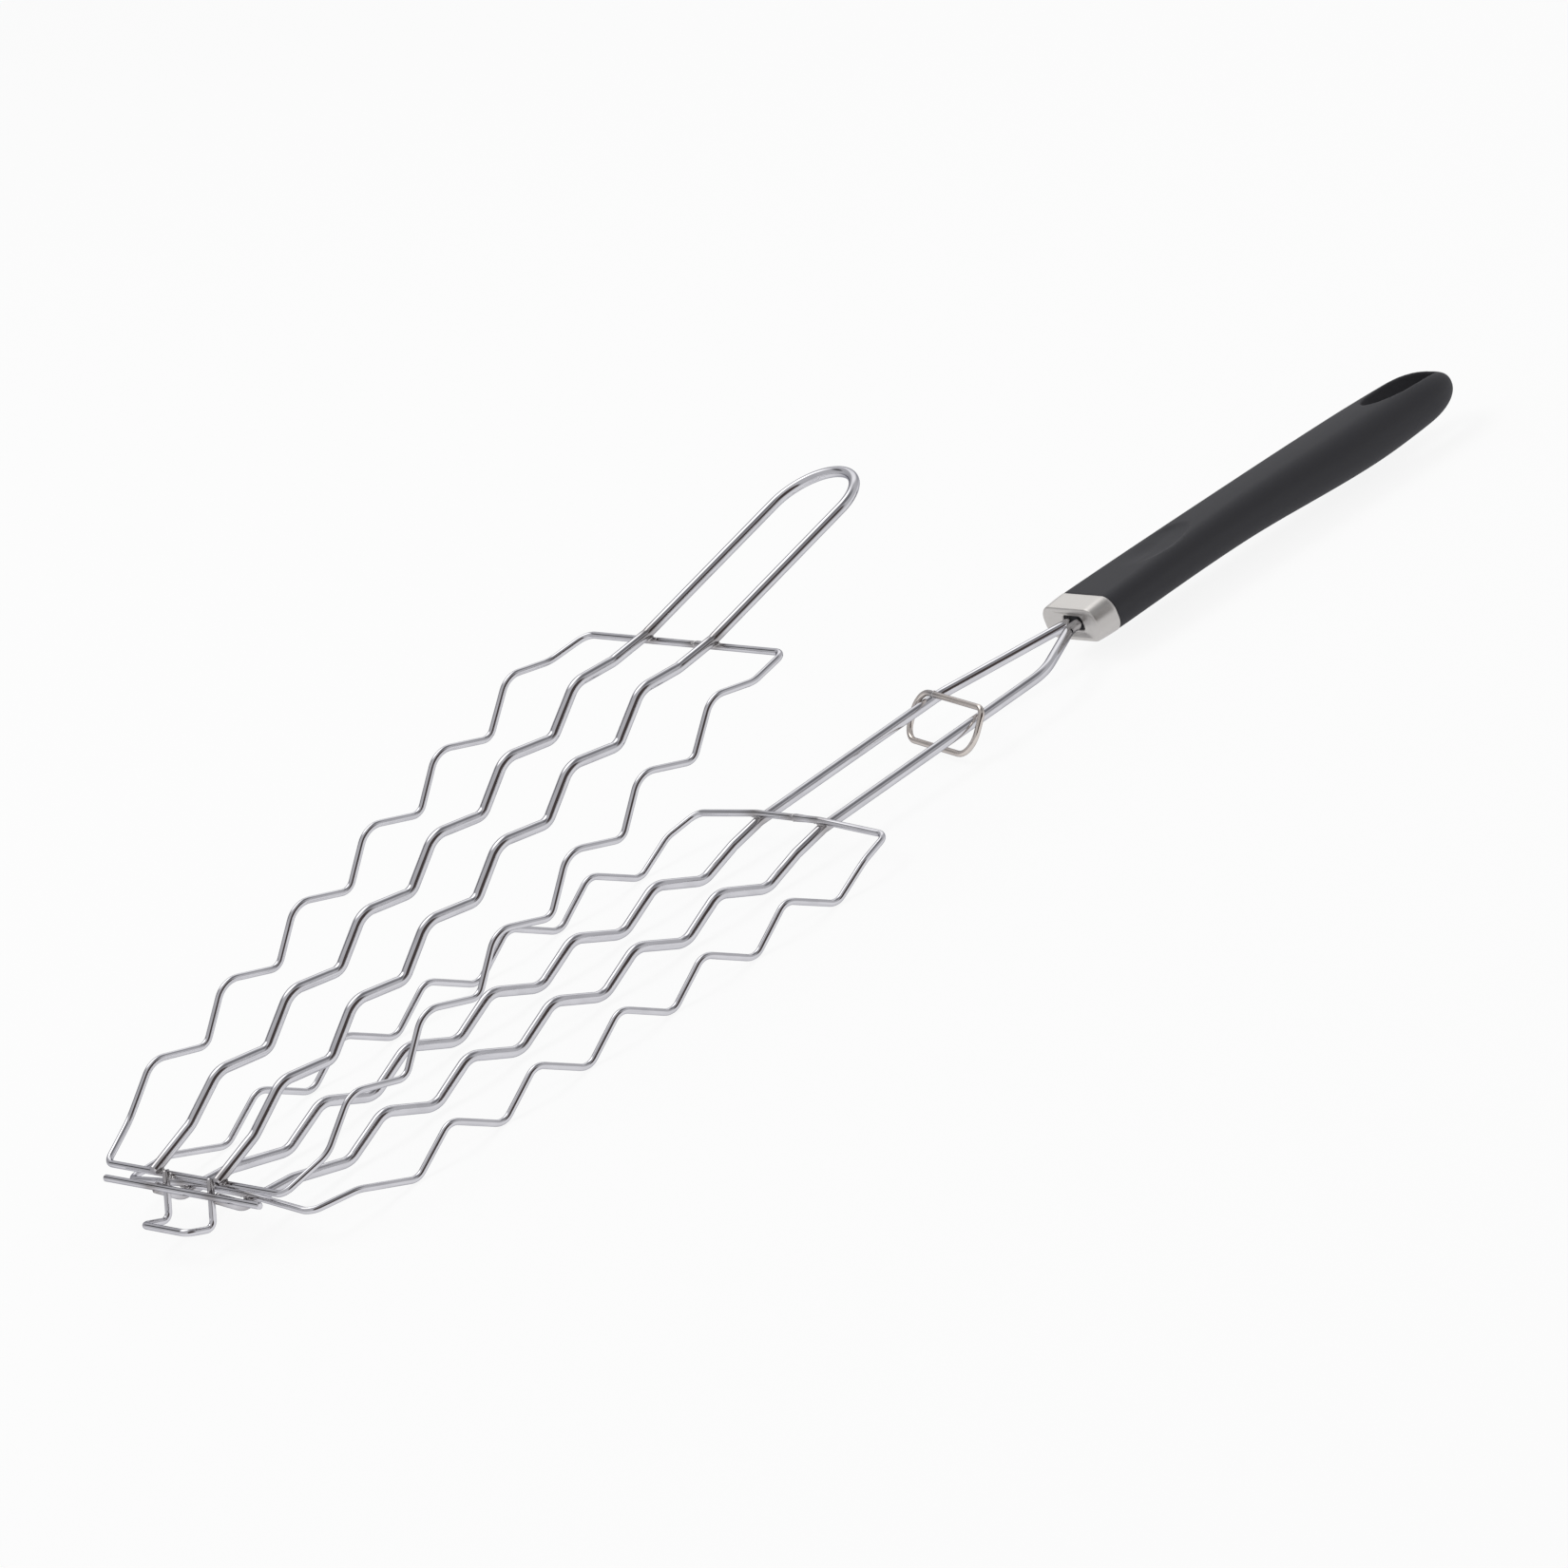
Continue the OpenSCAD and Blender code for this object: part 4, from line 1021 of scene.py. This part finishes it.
def fine_grain_group():
    """Fine grain and rubbed patches of a cast, moulded or bare metal surface."""
    name = "Fine Grain"
    if name in bpy.data.node_groups:
        return bpy.data.node_groups[name]
    group, board, into, out = new_group(
        name,
        (
            ("Place", "NodeSocketVector", None),
            ("Grain Scale", "NodeSocketFloat", 2500.0),
            ("Patch Scale", "NodeSocketFloat", 60.0),
        ),
        (("Grain", "NodeSocketFloat"), ("Rubbed", "NodeSocketFloat"), ("Height", "NodeSocketFloat")),
    )
    grain = board.noise(into.outputs["Place"], into.outputs["Grain Scale"], 2.0, 0.6)
    patches = board.noise(into.outputs["Place"], into.outputs["Patch Scale"], 3.0, 0.6)
    coarse = board.noise(into.outputs["Place"], board.math("MULTIPLY", into.outputs["Grain Scale"], 0.3), 1.0, 0.5)
    rubbed = board.ranged(patches, 0.4, 0.75)
    height = board.math("ADD", board.math("MULTIPLY", grain, 0.6), board.math("MULTIPLY", coarse, 0.6))
    board.tree.links.new(grain, out.inputs["Grain"])
    board.tree.links.new(rubbed, out.inputs["Rubbed"])
    board.tree.links.new(height, out.inputs["Height"])
    return group


def opaque(rgb):
    return (rgb[0], rgb[1], rgb[2], 1.0)


def new_material(name):
    material = bpy.data.materials.new(name)
    material.use_nodes = True
    board = NodeBoard(material.node_tree)
    output = board.add("ShaderNodeOutputMaterial")
    surface = board.add("ShaderNodeBsdfPrincipled")
    board.tree.links.new(surface.outputs["BSDF"], output.inputs["Surface"])
    return material, board, surface


def plated_material(name, bright, shade, burnt, least, most, relief, on_wire=True):
    """Plated or polished metal, streaked along its wire where it is one."""
    if name in bpy.data.materials:
        return bpy.data.materials[name]
    material, board, surface = new_material(name)
    inputs = {
        "Bright": opaque(bright), "Shade": opaque(shade), "Burnt": opaque(burnt),
        "Least Roughness": least, "Most Roughness": most,
    }
    if on_wire:
        inputs["Place"] = board.add("ShaderNodeAttribute", attribute_name="wire_place").outputs["Vector"]
        inputs["Heat"] = board.add("ShaderNodeAttribute", attribute_name="weld_heat").outputs["Fac"]
    else:
        inputs["Place"] = board.add("ShaderNodeTexCoord").outputs["Object"]
    plated = board.add("ShaderNodeGroup", node_tree=plated_surface_group())
    for key, value in inputs.items():
        if isinstance(value, bpy.types.NodeSocket):
            board.tree.links.new(value, plated.inputs[key])
        else:
            plated.inputs[key].default_value = value
    bump = board.add(
        "ShaderNodeBump", {"Strength": relief, "Distance": 0.000006, "Height": plated.outputs["Height"]}
    )
    board.tree.links.new(plated.outputs["Colour"], surface.inputs["Base Color"])
    board.tree.links.new(plated.outputs["Roughness"], surface.inputs["Roughness"])
    board.tree.links.new(bump.outputs["Normal"], surface.inputs["Normal"])
    surface.inputs["Metallic"].default_value = 1.0
    surface.inputs["Specular Tint"].default_value = (0.42, 0.42, 0.45, 1)
    return material


def weld_material(finish):
    """Bare, slightly burnt metal of the welds."""
    name = "weld_steel"
    if name in bpy.data.materials:
        return bpy.data.materials[name]
    material, board, surface = new_material(name)
    place = board.add("ShaderNodeTexCoord").outputs["Object"]
    grain = board.add("ShaderNodeGroup", node_tree=fine_grain_group())
    board.tree.links.new(place, grain.inputs["Place"])
    grain.inputs["Grain Scale"].default_value = 3000.0
    grain.inputs["Patch Scale"].default_value = 900.0
    tint = board.mix_colour(grain.outputs["Rubbed"], opaque(finish.weld), opaque(finish.heat))
    roughness = board.ranged(grain.outputs["Grain"], 0.3, 0.7, 0.16, 0.36, smooth=False)
    bump = board.add("ShaderNodeBump", {"Strength": 0.5, "Distance": 0.00008, "Height": grain.outputs["Height"]})
    board.tree.links.new(tint, surface.inputs["Base Color"])
    board.tree.links.new(roughness, surface.inputs["Roughness"])
    board.tree.links.new(bump.outputs["Normal"], surface.inputs["Normal"])
    surface.inputs["Metallic"].default_value = 1.0
    return material


def plastic_material(finish):
    """Satin black moulded plastic with a fine spark-eroded grain, rubbed patches and a parting line."""
    name = "grip_plastic"
    if name in bpy.data.materials:
        return bpy.data.materials[name]
    material, board, surface = new_material(name)
    place = board.add("ShaderNodeTexCoord").outputs["Object"]
    grain = board.add("ShaderNodeGroup", node_tree=fine_grain_group())
    board.tree.links.new(place, grain.inputs["Place"])
    grain.inputs["Grain Scale"].default_value = 2600.0
    grain.inputs["Patch Scale"].default_value = 55.0
    parting = board.add("ShaderNodeAttribute", attribute_name="from_parting").outputs["Fac"]
    seam = board.ranged(board.math("ABSOLUTE", parting), 0.0, 0.0003, 1.0, 0.0)
    specks = board.ranged(board.noise(place, 1100.0, 1.0, 0.5), 0.72, 0.8)
    worn = board.math("MAXIMUM", grain.outputs["Rubbed"], board.math("MULTIPLY", specks, 0.8))
    tint = board.mix_colour(worn, opaque(finish.plastic), opaque(finish.plastic_worn))
    roughness = board.ranged(grain.outputs["Rubbed"], 0.0, 1.0, 0.42, 0.34, smooth=False)
    height = board.math("ADD", board.math("MULTIPLY", grain.outputs["Height"], 0.35), board.math("MULTIPLY", seam, 0.5))
    bump = board.add("ShaderNodeBump", {"Strength": 0.35, "Distance": 0.0001, "Height": height})
    board.tree.links.new(tint, surface.inputs["Base Color"])
    board.tree.links.new(roughness, surface.inputs["Roughness"])
    board.tree.links.new(bump.outputs["Normal"], surface.inputs["Normal"])
    surface.inputs["Specular IOR Level"].default_value = 0.5
    return material


def rod_chrome(finish):
    return plated_material("rod_chrome", finish.plating, finish.plating_shade, finish.heat, 0.05, 0.14, 0.5)


def wire_chrome(finish):
    return plated_material("wire_chrome", finish.plating, finish.plating_shade, finish.heat, 0.06, 0.15, 0.5)


def ring_nickel(finish):
    return plated_material("ring_nickel", finish.nickel, finish.nickel_shade, finish.heat, 0.12, 0.26, 0.5)


def ferrule_steel(finish):
    return plated_material(
        "ferrule_steel", finish.steel, finish.steel_shade, finish.heat, 0.07, 0.2, 0.5, on_wire=False
    )


class BASKET_OT_base_rods(Operator):
    """Bends the base's two long rods, from the hinge bar into the grip"""

    bl_idname = "basket.base_rods"
    bl_label = "Base rods"

    def execute(self, context):
        plan, finish = Plan(context.scene), context.scene.basket_finish
        hot = [*plan.base_crossings().values(), *plan.bar_crossings().values()]
        for side, node in ((1.0, "base_left_rod"), (-1.0, "base_right_rod")):
            rod = tube(
                node + "_plated", plan.base_rod_route(side), plan.grid.rod_d, plan.to_row, hot, seed=side + 2.0
            )
            dress(rod, "base", [node], rod_chrome(finish))
        return {"FINISHED"}


class BASKET_OT_base_frame(Operator):
    """Bends the base's outer frame from one thin wire"""

    bl_idname = "basket.base_frame"
    bl_label = "Base frame"

    def execute(self, context):
        plan, finish = Plan(context.scene), context.scene.basket_finish
        hot = [*plan.base_crossings().values(), plan.butts()["base_butt_weld"]]
        wire = tube(
            "base_frame_plated", plan.base_frame_route(), plan.grid.wire_d, plan.to_row, hot, 5.0, 0.14, 0.006
        )
        dress(wire, "base", ["base_frame_wire"], wire_chrome(finish))
        return {"FINISHED"}


class BASKET_OT_hinge_bar(Operator):
    """Makes the straight hinge bar with its cropped ends"""

    bl_idname = "basket.hinge_bar"
    bl_label = "Hinge bar"

    def execute(self, context):
        plan, finish = Plan(context.scene), context.scene.basket_finish
        half = Vector((0.0, plan.hinge.bar_length / 2, 0.0))
        bar = tube(
            "hinge_bar_plated", [plan.bar - half, plan.bar + half], plan.hinge.bar_d, plan.to_row,
            list(plan.bar_crossings().values()), 7.0,
        )
        dress(bar, "base", ["hinge_bar"], wire_chrome(finish))
        return {"FINISHED"}


class BASKET_OT_lid_loop(Operator):
    """Bends both rods of the lid and the round loop that joins them"""

    bl_idname = "basket.lid_loop"
    bl_label = "Lid loop"

    def execute(self, context):
        plan, finish = Plan(context.scene), context.scene.basket_finish
        rod = tube(
            "lid_loop_plated", plan.lid_loop_route(), plan.grid.rod_d, plan.lid_to_row,
            list(plan.lid_crossings().values()), 11.0,
        )
        dress(rod, "lid", ["lid_loop_rod"], rod_chrome(finish))
        return {"FINISHED"}


class BASKET_OT_lid_frame(Operator):
    """Bends the lid's outer frame from one thin wire"""

    bl_idname = "basket.lid_frame"
    bl_label = "Lid frame"

    def execute(self, context):
        plan, finish = Plan(context.scene), context.scene.basket_finish
        hot = [*plan.lid_crossings().values(), plan.butts()["lid_butt_weld"], *plan.hook_crossings().values()]
        wire = tube(
            "lid_frame_plated", plan.lid_frame_route(), plan.grid.wire_d, plan.lid_to_row, hot, 13.0, 0.14, 0.006
        )
        dress(wire, "lid", ["lid_frame_wire"], wire_chrome(finish))
        return {"FINISHED"}


class BASKET_OT_hook(Operator):
    """Bends the lid's wire hook that catches the hinge bar"""

    bl_idname = "basket.hook"
    bl_label = "Hinge hook"

    def execute(self, context):
        plan, finish = Plan(context.scene), context.scene.basket_finish
        hook = tube(
            "hinge_hook_plated", plan.hook_route(), plan.hinge.hook_d, plan.lid_to_row,
            list(plan.hook_crossings().values()), 17.0,
        )
        dress(hook, "lid", ["hinge_hook"], wire_chrome(finish))
        return {"FINISHED"}


class BASKET_OT_welds(Operator):
    """Melts the welds where the wires cross, and the butt joints of the two frames"""

    bl_idname = "basket.welds"
    bl_label = "Welds"

    def execute(self, context):
        plan, finish = Plan(context.scene), context.scene.basket_finish
        grid = plan.grid
        steel = weld_material(finish)
        groups = (
            ("base_cross_welds", "base", plan.base_crossings(), plan.to_row, grid.wire_d, 2),
            ("hinge_bar_welds", "base", plan.bar_crossings(), plan.to_row, plan.hinge.bar_d, 3),
            ("lid_cross_welds", "lid", plan.lid_crossings(), plan.lid_to_row, grid.wire_d, 2),
            ("hook_welds", "lid", plan.hook_crossings(), plan.lid_to_row, plan.hinge.hook_d, 2),
        )
        for name, body, welds, matrix, bar_d, spatter in groups:
            made = beads(name, list(welds.values()), matrix, bar_d, grid.rod_d, spatter)
            dress(made, body, list(welds), steel)
        for node, body, matrix in (
            ("base_butt_weld", "base", plan.to_row), ("lid_butt_weld", "lid", plan.lid_to_row)
        ):
            bm = bmesh.new()
            r = grid.wire_d / 2
            add_bead(bm, plan.butts()[node], (r * 1.1, r * 0.7, r * 1.12), 3.1)
            add_bead(bm, plan.butts()[node] + Vector((-r * 0.3, r * 0.9, r * 0.7)), (r * 0.4, r * 0.5, r * 0.5), 5.2)
            bm.transform(matrix)
            for face in bm.faces:
                face.smooth = True
            mesh = bpy.data.meshes.new(node + "_bead")
            bm.to_mesh(mesh)
            bm.free()
            dress(new_object(node + "_bead", mesh), body, [node], steel)
        return {"FINISHED"}


class BASKET_OT_ring(Operator):
    """Bends the locking ring that slides along the stem, and its butt joint"""

    bl_idname = "basket.ring"
    bl_label = "Locking ring"

    def execute(self, context):
        plan, finish = Plan(context.scene), context.scene.basket_finish
        ring = plan.ring
        joint = Vector((ring.height / 2, ring.butt, 0.0))
        nickel = ring_nickel(finish)
        wire = tube("locking_ring_plated", plan.ring_route(), ring.wire_d, plan.ring_to_row, [joint], 19.0, 0.08, 0.004)
        dress(wire, "ring", ["locking_ring"], nickel)
        bm = bmesh.new()
        r = ring.bead_d / 2
        add_bead(bm, joint, (r * 0.86, r * 0.6, r * 0.86), 1.7)
        bm.transform(plan.ring_to_row)
        for face in bm.faces:
            face.smooth = True
        mesh = bpy.data.meshes.new("ring_butt_bead")
        bm.to_mesh(mesh)
        bm.free()
        dress(new_object("ring_butt_bead", mesh), "ring", ["ring_butt_weld"], weld_material(finish))
        return {"FINISHED"}


class BASKET_OT_ferrule(Operator):
    """Presses the ferrule with its dished front and the hole for the rods"""

    bl_idname = "basket.ferrule"
    bl_label = "Ferrule"

    def execute(self, context):
        plan, finish = Plan(context.scene), context.scene.basket_finish
        cap = loft("ferrule_pressed", ferrule_rings(plan), plan.grip_to_row, looped=True)
        cap.data.set_sharp_from_angle(angle=math.radians(50))
        dress(cap, "base", ["ferrule"], ferrule_steel(finish))
        return {"FINISHED"}


class BASKET_OT_grip(Operator):
    """Moulds the grip with its thumb dimple and hanging slot"""

    bl_idname = "basket.grip"
    bl_label = "Grip"

    def execute(self, context):
        plan, finish = Plan(context.scene), context.scene.basket_finish
        body = build_grip(plan)
        body.name = "grip_moulded"
        dress(body, "base", ["grip"], plastic_material(finish))
        return {"FINISHED"}


class BASKET_OT_stage(Operator):
    """Lays the pale floor, lights it softly and places the camera"""

    bl_idname = "basket.stage"
    bl_label = "Stage"

    def execute(self, context):
        scene, setup = context.scene, context.scene.basket_stage
        scene.view_settings.view_transform = "Standard"
        place_camera(scene, setup)
        build_floor(setup)
        build_world(scene, setup)
        add_light("key_light", (-0.5, 0.9, 1.9), (0.0, 0.0, 0.0), (1.5, 0.9), setup.key)
        add_light("fill_light", (0.9, -1.6, 1.5), (0.0, 0.0, 0.0), (0.9, 0.9), setup.fill)
        return {"FINISHED"}


def place_camera(scene, setup):
    """Camera on a sphere around its aim, rolled as the photograph's."""
    azimuth, elevation = setup.azimuth, setup.elevation
    back = Vector((
        math.cos(elevation) * math.cos(azimuth), math.cos(elevation) * math.sin(azimuth), math.sin(elevation)
    ))
    data = bpy.data.cameras.new("photo_camera")
    data.lens = setup.lens
    data.sensor_width = 36.0
    data.clip_end = 50.0
    camera = bpy.data.objects.new("photo_camera", data)
    scene.collection.objects.link(camera)
    turn = back.to_track_quat("Z", "Y").to_matrix() @ Matrix.Rotation(setup.roll, 3, "Z")
    camera.matrix_world = Matrix.Translation(Vector(setup.aim) + back * setup.distance) @ turn.to_4x4()
    scene.camera = camera


def add_light(name, place, aim, size, power):
    """Soft rectangular light that faces its aim."""
    data = bpy.data.lights.new(name, "AREA")
    data.shape, data.size, data.size_y, data.energy = "RECTANGLE", size[0], size[1], power
    light = bpy.data.objects.new(name, data)
    bpy.context.scene.collection.objects.link(light)
    back = (Vector(place) - Vector(aim)).normalized()
    light.matrix_world = Matrix.Translation(place) @ back.to_track_quat("Z", "Y").to_matrix().to_4x4()
    light.visible_glossy = False


def build_floor(setup):
    """Round pale floor that shows white and keeps a soft shadow."""
    bm = bmesh.new()
    bmesh.ops.create_circle(bm, cap_ends=True, segments=96, radius=setup.floor_radius)
    mesh = bpy.data.meshes.new("studio_floor")
    bm.to_mesh(mesh)
    bm.free()
    floor = new_object("studio_floor", mesh)
    floor.location.z = -0.0001
    material = bpy.data.materials.new("studio_floor")
    material.use_nodes = True
    board = NodeBoard(material.node_tree)
    paths = board.add("ShaderNodeLightPath")
    diffuse = board.add("ShaderNodeBsdfDiffuse", {"Color": (0.8, 0.8, 0.8, 1)})
    glow = board.add("ShaderNodeEmission", {"Color": (1, 1, 1, 1), "Strength": 1.0})
    mirrored = board.math("MAXIMUM", paths.outputs["Is Glossy Ray"], paths.outputs["Is Transmission Ray"])
    place = board.add("ShaderNodeTexCoord").outputs["Object"]
    across = board.add("ShaderNodeSeparateXYZ", {0: place}).outputs["Y"]
    faded = board.ranged(across, -0.9, -0.05, 0.55, 0.9)
    glow_level = board.mix_colour(mirrored, (1.0, 1.0, 1.0, 1), (0.96, 0.96, 1.0, 1))
    board.tree.links.new(glow_level, glow.inputs["Color"])
    strength = board.add("ShaderNodeMix", {0: mirrored, 2: 1.0, 3: faded}, data_type="FLOAT").outputs[0]
    board.tree.links.new(strength, glow.inputs["Strength"])
    seen = board.math("MAXIMUM", paths.outputs["Is Camera Ray"], mirrored)
    part = board.math("MULTIPLY", seen, 0.88)
    mixed = board.add("ShaderNodeMixShader", {0: part, 1: diffuse.outputs[0], 2: glow.outputs[0]})
    output = board.add("ShaderNodeOutputMaterial")
    board.tree.links.new(mixed.outputs[0], output.inputs["Surface"])
    mesh.materials.append(material)
    return floor


def build_world(scene, setup):
    """White surroundings for the camera, a studio with a dark ceiling for gloss, and even light for the rest."""
    world = bpy.data.worlds.new("studio_world")
    world.use_nodes = True
    scene.world = world
    board = NodeBoard(world.node_tree)
    paths = board.add("ShaderNodeLightPath")
    way = board.add("ShaderNodeTexCoord").outputs["Generated"]

    def patch(azimuth, elevation, wide, soft):
        """Mask of a round patch of the studio: its middle in degrees, its radius and soft edge."""
        a, e = math.radians(azimuth), math.radians(elevation)
        middle = (math.cos(e) * math.cos(a), math.cos(e) * math.sin(a), math.sin(e))
        near = board.add("ShaderNodeVectorMath", {0: way, 1: middle}, operation="DOT_PRODUCT").outputs["Value"]
        inner, outer = math.cos(math.radians(wide - soft)), math.cos(math.radians(wide + soft))
        return board.ranged(near, outer, inner)

    studio = (0.54, 0.54, 0.565, 1)
    studio = board.mix_colour(patch(42.0, 27.0, 15.0, 11.0), studio, (1.3, 1.3, 1.32, 1))
    studio = board.mix_colour(patch(75.0, 62.0, 18.0, 8.0), studio, (2.1, 2.1, 2.12, 1))
    studio = board.mix_colour(patch(107.0, 32.0, 9.0, 4.0), studio, (0.08, 0.08, 0.085, 1))
    studio = board.mix_colour(patch(-32.0, 56.0, 18.0, 12.0), studio, (0.2, 0.2, 0.215, 1))
    gloss_level = board.mix_colour(patch(-98.0, 16.0, 37.0, 5.0), studio, (0.075, 0.06, 0.058, 1))
    gloss = board.add("ShaderNodeBackground", {"Color": gloss_level, "Strength": 1.0})
    white = board.add("ShaderNodeBackground", {"Color": (1, 1, 1, 1), "Strength": 1.0})
    even = board.add("ShaderNodeBackground", {"Color": (1, 1, 1, 1), "Strength": setup.ambient})
    mirrored = board.math("MAXIMUM", paths.outputs["Is Glossy Ray"], paths.outputs["Is Transmission Ray"])
    unlit = board.add("ShaderNodeMixShader", {0: mirrored, 1: even.outputs[0], 2: gloss.outputs[0]})
    seen = board.add("ShaderNodeMixShader", {0: paths.outputs["Is Camera Ray"], 1: unlit.outputs[0], 2: white.outputs[0]})
    output = board.add("ShaderNodeOutputWorld")
    board.tree.links.new(seen.outputs[0], output.inputs["Surface"])


class BASKET_PT_sidebar(Panel):
    """Lists the basket's pieces, sizes and finishes in the sidebar"""

    bl_label = "Sausage Grilling Basket"
    bl_idname = "BASKET_PT_sidebar"
    bl_space_type = "VIEW_3D"
    bl_region_type = "UI"
    bl_category = "Basket"

    def draw(self, context):
        column = self.layout.column(align=True)
        for operator in PIECES:
            column.operator(operator.bl_idname)
        for key, group in GROUPS.items():
            box = self.layout.box()
            box.label(text=group.__name__)
            for prop in group.__annotations__:
                box.prop(getattr(context.scene, key), prop)


GROUPS = {
    "basket_grid": GridSizes,
    "basket_hinge": HingeSizes,
    "basket_stem": StemSizes,
    "basket_ring": RingSizes,
    "basket_ferrule": FerruleSizes,
    "basket_grip": GripSizes,
    "basket_finish": FinishColours,
    "basket_stage": StageSetup,
}
PIECES = (
    BASKET_OT_stage,
    BASKET_OT_base_rods,
    BASKET_OT_base_frame,
    BASKET_OT_hinge_bar,
    BASKET_OT_lid_loop,
    BASKET_OT_lid_frame,
    BASKET_OT_hook,
    BASKET_OT_welds,
    BASKET_OT_ring,
    BASKET_OT_ferrule,
    BASKET_OT_grip,
)


def register():
    for group in GROUPS.values():
        bpy.utils.register_class(group)
    for operator in PIECES:
        bpy.utils.register_class(operator)
    bpy.utils.register_class(BASKET_PT_sidebar)
    for key, group in GROUPS.items():
        setattr(bpy.types.Scene, key, PointerProperty(type=group))


def unregister():
    for key in GROUPS:
        delattr(bpy.types.Scene, key)
    bpy.utils.unregister_class(BASKET_PT_sidebar)
    for operator in reversed(PIECES):
        bpy.utils.unregister_class(operator)
    for group in reversed(GROUPS.values()):
        bpy.utils.unregister_class(group)


def main():
    register()
    bpy.ops.basket.stage()
    bpy.ops.basket.base_rods()
    bpy.ops.basket.base_frame()
    bpy.ops.basket.hinge_bar()
    bpy.ops.basket.lid_loop()
    bpy.ops.basket.lid_frame()
    bpy.ops.basket.hook()
    bpy.ops.basket.welds()
    bpy.ops.basket.ring()
    bpy.ops.basket.ferrule()
    bpy.ops.basket.grip()


if __name__ == "__main__":
    main()
